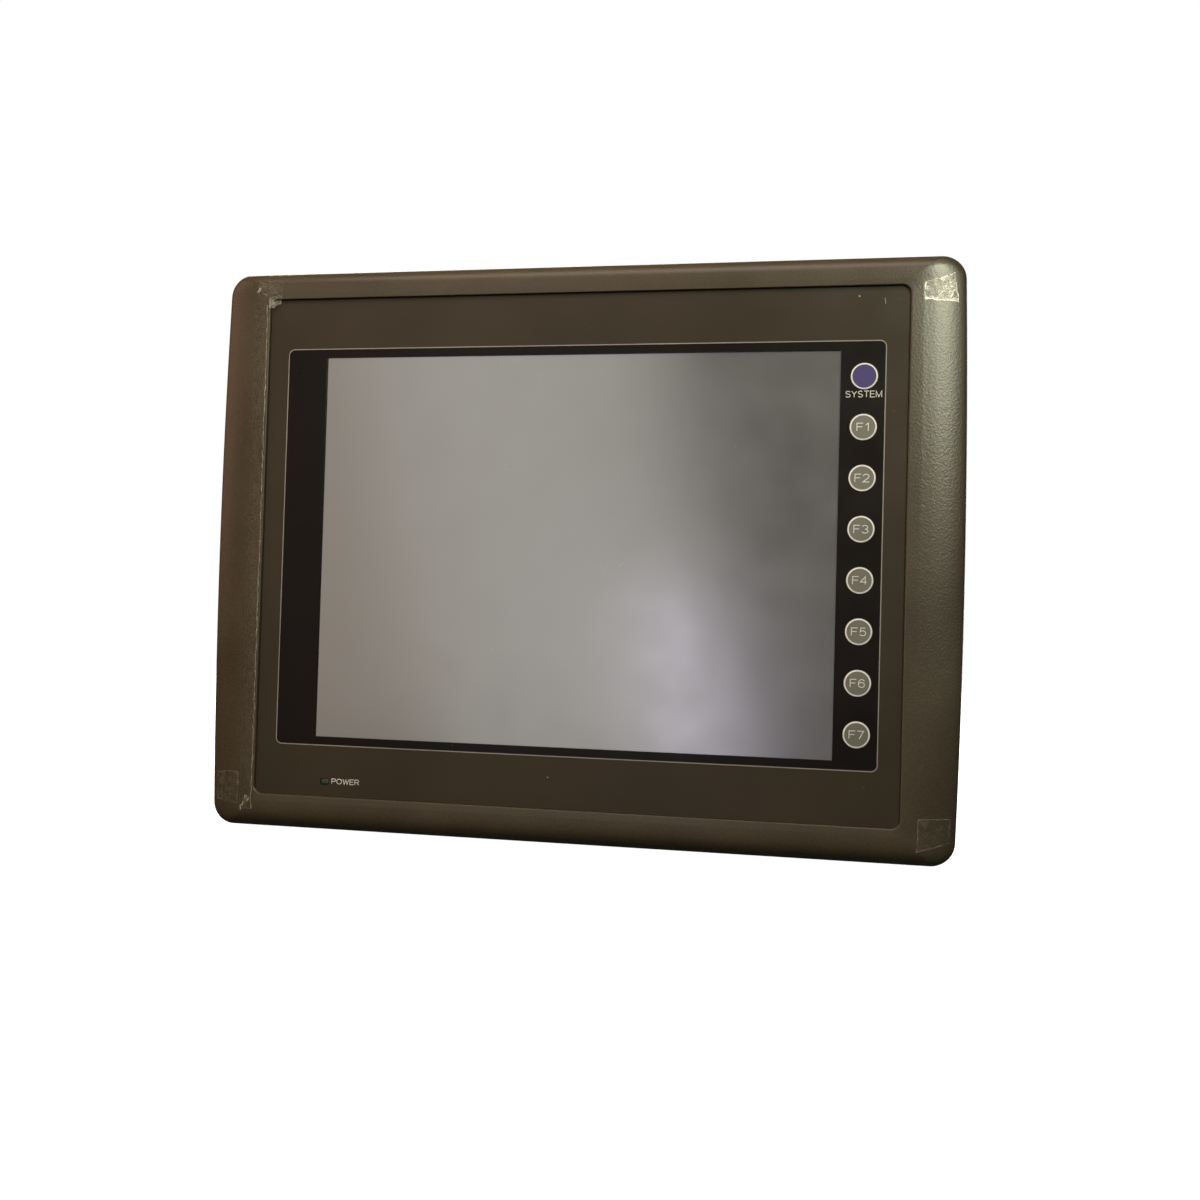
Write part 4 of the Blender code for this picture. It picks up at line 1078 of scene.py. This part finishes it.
# ------------------------------
# Doors. Three hinged covers in the same charcoal ABS. Each is a flat leaf below a round
# hinge barrel with two stub pins, and has a scoop at its free edge for a fingernail.
DOORS = (
    # node, hinge axis, width, height, whether the axis runs front to back
    ("terminal_cover", (LEFT_BAY_X, HINGE_Y, -50.0), 40.0, 26.0, False),
    ("battery_cover", (LEFT_BAY_X, HINGE_Y, 62.0), 42.0, 22.0, False),
    ("card_door", (CARD_HINGE_X, 38.5, 58.0), 14.0, 52.0, True),
)
BARREL_RADIUS = 1.5
# The same charcoal ABS, rubbed a little smoother by handling, so the doors read as separate.
door_abs = moulded_plastic("handled_charcoal_abs", "363430", "3C3934", 0.43, 1100.0)
for name, hinge, width, height, sideways in DOORS:
    angles = [math.pi * step / 16 for step in range(17)]
    outline = [(-BARREL_RADIUS * math.cos(a), BARREL_RADIUS * math.sin(a)) for a in angles]
    outline += [(BARREL_RADIUS, 0.4 - height), (1.1, -height), (-0.2, -height), (-0.5, 0.3 - height)]
    outline += [(-0.5, -BARREL_RADIUS), (-BARREL_RADIUS, -0.4)]
    bm = bmesh.new()
    face = bm.faces.new([bm.verts.new((depth, -width / 2, up)) for depth, up in outline])
    extrude(bm, [face], (0, width, 0), keep=True)
    pins = bmesh.new()
    add_rod(pins, (0, -width / 2 - 1.6, 0), (0, width / 2 + 1.6, 0), 0.6, 20, 0.15)
    bm = carve(bm, pins, "UNION")
    scoop = bmesh.new()
    reach = min(7.0, width / 2 - 3.0)
    add_rod(scoop, (3.6, -reach, 5.0 - height), (3.6, reach, 5.0 - height), 3.0, 48)
    bm = carve(bm, scoop)
    if not sideways:
        bmesh.ops.rotate(bm, verts=bm.verts, matrix=Matrix.Rotation(math.radians(90), 3, "Z"))
    bmesh.ops.translate(bm, verts=bm.verts, vec=hinge)
    leaf = finish_piece(name + "_leaf", bm, [door_abs], 32)
    assign(leaf, name + "_body", name)

# ------------------------------
# Terminal block. A barrier strip in black glass-filled nylon with three clamping screws,
# each on a square washer plate between two barriers.
TERMINAL_AT = (LEFT_BAY_X, -63.0)
TERMINAL_PITCH = 10.5
# Glass-filled nylon: deep black and satin, with a slightly mottled skin.
black_nylon = moulded_plastic("glass_filled_black_nylon", "131312", "1B1B19", 0.4, 1500.0)
bm = bmesh.new()
add_box(bm, TERMINAL_AT, (35.0, 17.0), (BOARD_Y, 40.0), 0.4)
walls = bmesh.new()
for index in range(4):
    x = TERMINAL_AT[0] + (index - 1.5) * TERMINAL_PITCH
    add_box(walls, (x, TERMINAL_AT[1]), (1.6, 16.2), (38.5, 43.6), 0.3)
bm = carve(bm, walls, "UNION")
bores = bmesh.new()
for index in range(3):
    x = TERMINAL_AT[0] + (index - 1) * TERMINAL_PITCH
    add_rod(bores, (x, 34.0, TERMINAL_AT[1]), (x, 41.0, TERMINAL_AT[1]), 2.05)
bm = carve(bm, bores)
block = finish_piece("terminal_strip", bm, [black_nylon], 32)
assign(block, "panel", "terminal_block")
for index in range(3):
    x = TERMINAL_AT[0] + (index - 1) * TERMINAL_PITCH
    bm = bmesh.new()
    rows = [(1.8, 42.6), (2.6, 42.5), (3.1, 42.1), (3.4, 41.6), (3.4, 40.9)]
    rows += [(1.75, 40.9), (1.75, 34.8)]
    add_turned(bm, (x, TERMINAL_AT[1]), rows)
    bm = carve(bm, cross_recess((x, TERMINAL_AT[1]), 42.6, 3.4, 1.2))
    screw = finish_piece(f"terminal_clamp_screw_{index + 1}", bm, [zinc], 35)
    plate = bmesh.new()
    add_box(plate, (x, TERMINAL_AT[1]), (7.6, 8.4), (40.1, 40.8), 0.15)
    hole = bmesh.new()
    add_rod(hole, (x, 39.0, TERMINAL_AT[1]), (x, 42.0, TERMINAL_AT[1]), 1.9)
    washer = finish_piece(f"terminal_washer_{index + 1}", carve(plate, hole), [zinc], 35)
    for piece in (screw, washer):
        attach(piece, "panel")
    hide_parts(f"terminal_screw_{index + 1}")

# ------------------------------
# Serial connector. A 25-way D-shaped socket: a tinned steel shell round a black moulded
# face with thirteen holes over twelve, held by two hexagonal jack posts.
SHELL_CORNERS = ((-19.2, 3.95), (19.2, 3.95), (17.8, -3.95), (-17.8, -3.95))


def shell_loop(bm, inset, y):
    """One outline of the D shape, its corners rounded."""
    points = []
    for index, corner in enumerate(SHELL_CORNERS):
        here = Vector(corner)
        to_last = (Vector(SHELL_CORNERS[index - 1]) - here).normalized()
        to_next = (Vector(SHELL_CORNERS[(index + 1) % 4]) - here).normalized()
        radius = 2.6 - inset
        centre = here + (to_last + to_next) * 2.6
        for step in range(9):
            start, end = -to_next, -to_last
            direction = start.slerp(end, step / 8)
            points.append(centre + direction * radius)
    return loop_edges(bm, [(point.x + SERIAL_AT[0], y, point.y + SERIAL_AT[1]) for point in points])


# Tin plate, softer than zinc: a warm silver with a satin surface.
tin = plated_metal("satin_tin_plate", "A09C92", "BDB9AE", 0.34)
bm = bmesh.new()
rows = ((0.0, 44.2), (0.0, 50.4), (0.12, 50.6), (0.45, 50.6), (0.55, 50.4), (0.55, 44.2))
loops = [shell_loop(bm, inset, y) for inset, y in rows]
bridge_all(bm, loops, endless=True)
flange = bmesh.new()
add_box(flange, SERIAL_AT, (53.0, 12.5), (43.9, 44.7), 0.2)
holes = bmesh.new()
for side in JACK_POST_SIDES:
    x = SERIAL_AT[0] + side
    add_rod(holes, (x, 43.0, SERIAL_AT[1]), (x, 46.0, SERIAL_AT[1]), 1.5)
flange = carve(flange, holes)
bm = carve(bm, flange, "UNION")
shell = finish_piece("serial_socket_shell", bm, [tin], 32)
insert = bmesh.new()
rows = ((0.65, BOARD_Y), (0.65, 50.0), (0.8, 50.15))
loops = [shell_loop(insert, inset, y) for inset, y in rows]
bridge_all(insert, loops)
pins = bmesh.new()
for row, (count, z) in enumerate(((13, 1.42), (12, -1.42))):
    for index in range(count):
        x = SERIAL_AT[0] + (index - (count - 1) / 2) * 2.77
        add_rod(pins, (x, 46.0, SERIAL_AT[1] + z), (x, 51.0, SERIAL_AT[1] + z), 0.6, 16)
insert = finish_piece("serial_socket_face", carve(insert, pins), [black_nylon], 32)
for piece in (shell, insert):
    assign(piece, "panel", "serial_connector")
for index, side in enumerate(JACK_POST_SIDES):
    centre = (SERIAL_AT[0] + side, SERIAL_AT[1])
    bm = bmesh.new()
    add_turned(bm, centre, [(2.45, 53.0), (2.75, 52.7), (2.75, 48.3)], 6)
    stud = bmesh.new()
    add_rod(stud, (centre[0], 45.0, centre[1]), (centre[0], 49.0, centre[1]), 1.4)
    bm = carve(bm, stud, "UNION")
    bore = bmesh.new()
    add_turned(bore, centre, [(1.3, 49.0), (1.3, 52.6), (1.9, 53.2)])
    post = finish_piece(f"jack_post_{index + 1}_hexagon", carve(bm, bore), [zinc], 32)
    assign(post, "panel", f"jack_post_{index + 1}")

# ------------------------------
# Modular jacks. Two black nylon housings with a stepped mouth, and eight sprung wires of
# gold-plated bronze that slope up from the back of each mouth.
# Flash gold over nickel: bright yellow wires that catch light inside the dark mouth.
gold = plated_metal("flash_gold_plate", "B08A3E", "CFA856", 0.25)
for index, centre in enumerate(JACKS_AT):
    bm = bmesh.new()
    add_box(bm, centre, (16.0, 14.0), (BOARD_Y, 48.4), 0.3)
    mouth = bmesh.new()
    add_box(mouth, (centre[0], centre[1] + 0.5), (12.0, 7.4), (36.0, 49.0))
    bm = carve(bm, mouth)
    latch = bmesh.new()
    add_box(latch, (centre[0], centre[1] - 3.9), (6.2, 2.6), (38.0, 49.0))
    housing = finish_piece(f"modular_jack_{index + 1}_housing", carve(bm, latch), [black_nylon], 32)
    wires = bmesh.new()
    for pin in range(8):
        x = centre[0] + (pin - 3.5) * 1.02
        add_rod(wires, (x, 46.6, centre[1] + 4.0), (x, 37.4, centre[1] + 0.8), 0.2, 12, 0.06)
    contacts = finish_piece(f"modular_jack_{index + 1}_contacts", wires, [gold], 40)
    for piece in (housing, contacts):
        assign(piece, "panel", f"modular_jack_{index + 1}")

# ------------------------------
# Battery. A lithium cell in a shrunk orange-red sleeve, which folds over at both ends and
# leaves the nickel end caps showing.
sleeve, shader, place = start_material("shrunk_polyvinyl_sleeve")
cloud = add_node(sleeve, "TexNoise", {"Vector": place, "Scale": 120.0, "Detail": 3.0})
tint = add_node(sleeve, "ValToRGB", {"Fac": cloud})
set_stops(tint, (0.35, "94361F"), (0.65, "A33E25"))
shrink = add_node(sleeve, "Mapping", {"Vector": place, "Scale": (60.0, 900.0, 900.0)})
ripple = add_node(sleeve, "TexNoise", {"Vector": shrink, "Scale": 1.0})
folds = add_node(sleeve, "Bump", {"Height": ripple, "Distance": 0.0001, "Strength": 0.3})
set_inputs(shader, {"Base Color": tint, "Roughness": 0.32, "Normal": folds, "IOR": 1.53})
nickel = plated_metal("dull_nickel_cap", "9C978A", "B5B0A2", 0.32)
bm = bmesh.new()
end_rows = [(4.6, 12.8), (6.5, 13.0), (7.1, 12.85), (7.3, 12.4)]
far_rows = [(radius, -reach) for radius, reach in reversed(end_rows)]
add_turned(bm, (0.0, 0.0), end_rows + far_rows, 64)
for face in bm.faces:
    if abs(face.calc_center_median().y) > 12.5 and len(face.verts) > 8:
        face.material_index = 1
bmesh.ops.rotate(bm, verts=bm.verts, matrix=Matrix.Rotation(math.radians(90), 3, "Z"))
bmesh.ops.translate(bm, verts=bm.verts, vec=(LEFT_BAY_X, 36.2, 50.0))
cell = finish_piece("battery_cell", bm, [sleeve, nickel], 35)
assign(cell, "panel", "battery")

# ------------------------------
# Card socket. A black nylon housing whose slot faces the side door, with two rows of gold
# contact pins standing at the back of the slot.
CARD_SLOT_Z = 31.5
bm = bmesh.new()
add_box(bm, (100.0, CARD_SLOT_Z), (44.0, 51.0), (BOARD_Y, 43.1), 0.4)
slot = bmesh.new()
add_box(slot, (103.5, CARD_SLOT_Z), (39.0, 44.4), (36.1, 40.9))
bm = carve(bm, slot)
windows = bmesh.new()
for index in range(5):
    add_box(windows, (104.0, CARD_SLOT_Z + (index - 2) * 9.0), (26.0, 5.0), (40.5, 44.0), 0.6)
housing = finish_piece("card_socket_housing", carve(bm, windows), [black_nylon], 32)
pins = bmesh.new()
for y in (37.9, 39.1):
    for index in range(34):
        z = CARD_SLOT_Z + (index - 16.5) * 1.27
        add_rod(pins, (83.0, y, z), (90.0, y, z), 0.22, 8, 0.08)
contacts = finish_piece("card_socket_pins", pins, [gold], 40)
for piece in (housing, contacts):
    assign(piece, "panel", "card_socket")

# ------------------------------
# Setting switches. A blue thermoplastic body with eight slots, one above the other, and a
# white slide lever in each.
# Blue polyester resin with a smooth moulded face.
blue_resin = moulded_plastic("moulded_blue_polyester", "1F3F8A", "274A98", 0.38, 1500.0)
# White nylon, slightly yellowed, so that each lever shows against the blue.
white_nylon = moulded_plastic("moulded_white_nylon", "D5D2C6", "E0DDD2", 0.4, 1500.0)
LEVER_PITCH = 2.54
bm = bmesh.new()
add_box(bm, DIP_AT, (9.8, 22.4), (BOARD_Y, 37.7), 0.25)
slots = bmesh.new()
for index in range(8):
    add_box(slots, (DIP_AT[0], DIP_AT[1] + (3.5 - index) * LEVER_PITCH), (4.2, 1.8), (34.5, 38.9))
switch = finish_piece("setting_switch_body", carve(bm, slots), [blue_resin], 32)
assign(switch, "panel", "dip_switch_body")
for index in range(8):
    bm = bmesh.new()
    z = DIP_AT[1] + (3.5 - index) * LEVER_PITCH
    add_box(bm, (DIP_AT[0] - 1.0, z), (1.6, 1.2), (34.8, 38.7), 0.15)
    dimple = bmesh.new()
    add_rod(dimple, (DIP_AT[0] - 1.0, 39.2, z - 1.0), (DIP_AT[0] - 1.0, 39.2, z + 1.0), 0.75, 24)
    lever = finish_piece(f"setting_lever_{index + 1}", carve(bm, dimple), [white_nylon], 32)
    assign(lever, f"dip_lever_{index + 1}_body", f"dip_lever_{index + 1}")

# ------------------------------
# Inner parts. The glass, display module, chassis and boards keep their modelled shapes, and
# each gets its own finish. Little of them shows except through the vents and openings.
# Zinc-plated sheet and pressed aluminium: brushed greys with soft streaks.
plain_steel = plated_metal("pressed_bright_steel", "8D8C86", "A5A39B", 0.35)
aluminium = plated_metal("rolled_aluminium", "A9A9A6", "BDBDB9", 0.38)
zinc_sheet = plated_metal("zinc_plated_sheet", "85867F", "9FA098", 0.42)


def patterned(name, kind, pattern, stops, roughness, ior):
    """A smooth surface whose colour follows one fine pattern."""
    surface, shader, place = start_material(name)
    shape = add_node(surface, kind, {"Vector": place, **pattern})
    tint = add_node(surface, "ValToRGB", {"Fac": shape})
    set_stops(tint, *stops)
    set_inputs(shader, {"Base Color": tint, "Roughness": roughness, "IOR": ior})
    return surface


# Coated glass with a faint haze, and the display's polariser with its regular fine dots.
haze = {"Scale": 30.0, "Detail": 3.0}
stops = ((0.3, "3A413E"), (0.7, "444B47"))
clear_glass = patterned("coated_soda_glass", "TexNoise", haze, stops, 0.06, 1.52)
dots = {"Scale": 3000.0, "Randomness": 0.0}
stops = ((0.3, "26302C"), (0.7, "2F3934"))
display_glass = patterned("polarised_display_glass", "TexVoronoi", dots, stops, 0.18, 1.5)
# Clear acrylic printed with white dots, and a lamp tube powdered inside.
dots = {"Scale": 600.0, "Randomness": 0.0}
stops = ((0.25, "F2F4F0"), (0.35, "D3D8D4"))
opal_acrylic = patterned("dotted_clear_acrylic", "TexVoronoi", dots, stops, 0.12, 1.49)
powder = {"Scale": 700.0, "Detail": 3.0}
stops = ((0.3, "DEDDD6"), (0.7, "ECEBE5"))
tube_glass = patterned("phosphor_coated_tube", "TexNoise", powder, stops, 0.2, 1.5)

# Amber film under the keys, and the extruded ribbon of the display cable.
amber_laminate = printed_film("amber_polyimide_laminate", "7A5A22", "8A692E", 0.4, 0.4)
grey_ribbon = moulded_plastic("extruded_grey_ribbon", "82827E", "90908B", 0.5, 900.0)

board_green, shader, place = start_material("green_solder_mask_board")
blocks = add_node(
    board_green, "TexVoronoi", {"Vector": place, "Scale": 220.0}, distance="CHEBYCHEV", feature="F1"
)
tracks = add_node(
    board_green,
    "MapRange",
    {"Value": blocks, "From Min": 0.3, "From Max": 0.34, "To Min": 0.0, "To Max": 1.0},
)
mask = add_node(
    board_green,
    "Mix",
    {"Factor": tracks, 6: linear("16502E"), 7: linear("0F3C22")},
    data_type="RGBA",
)
pads = add_node(board_green, "TexVoronoi", {"Vector": place, "Scale": 390.0, "Randomness": 0.35})
solder = add_node(
    board_green,
    "MapRange",
    {"Value": pads, "From Min": 0.14, "From Max": 0.17, "To Min": 1.0, "To Max": 0.0},
)
soldered = add_node(
    board_green,
    "Mix",
    {"Factor": solder, 6: mask.outputs[2], 7: linear("A8A79E")},
    data_type="RGBA",
)
raised = add_node(board_green, "Bump", {"Height": tracks, "Distance": 0.00005, "Strength": 0.4})
set_inputs(
    shader,
    {"Base Color": soldered.outputs[2], "Roughness": 0.36, "Normal": raised, "IOR": 1.55},
)

INNER_FINISHES = (
    ("touch_glass", clear_glass),
    ("key_contact_board", amber_laminate),
    ("lcd_front_frame", plain_steel),
    ("lcd_cell", display_glass),
    ("light_guide", opal_acrylic),
    ("backlight_lamp_top", tube_glass),
    ("backlight_lamp_bottom", tube_glass),
    ("lcd_rear_tray", aluminium),
    ("chassis_plate", zinc_sheet),
    ("inverter_board", board_green),
    ("power_board", board_green),
    ("main_board", board_green),
    ("lcd_cable", grey_ribbon),
)
for name, surface in INNER_FINISHES:
    nodes[name].data.materials.clear()
    nodes[name].data.materials.append(surface)
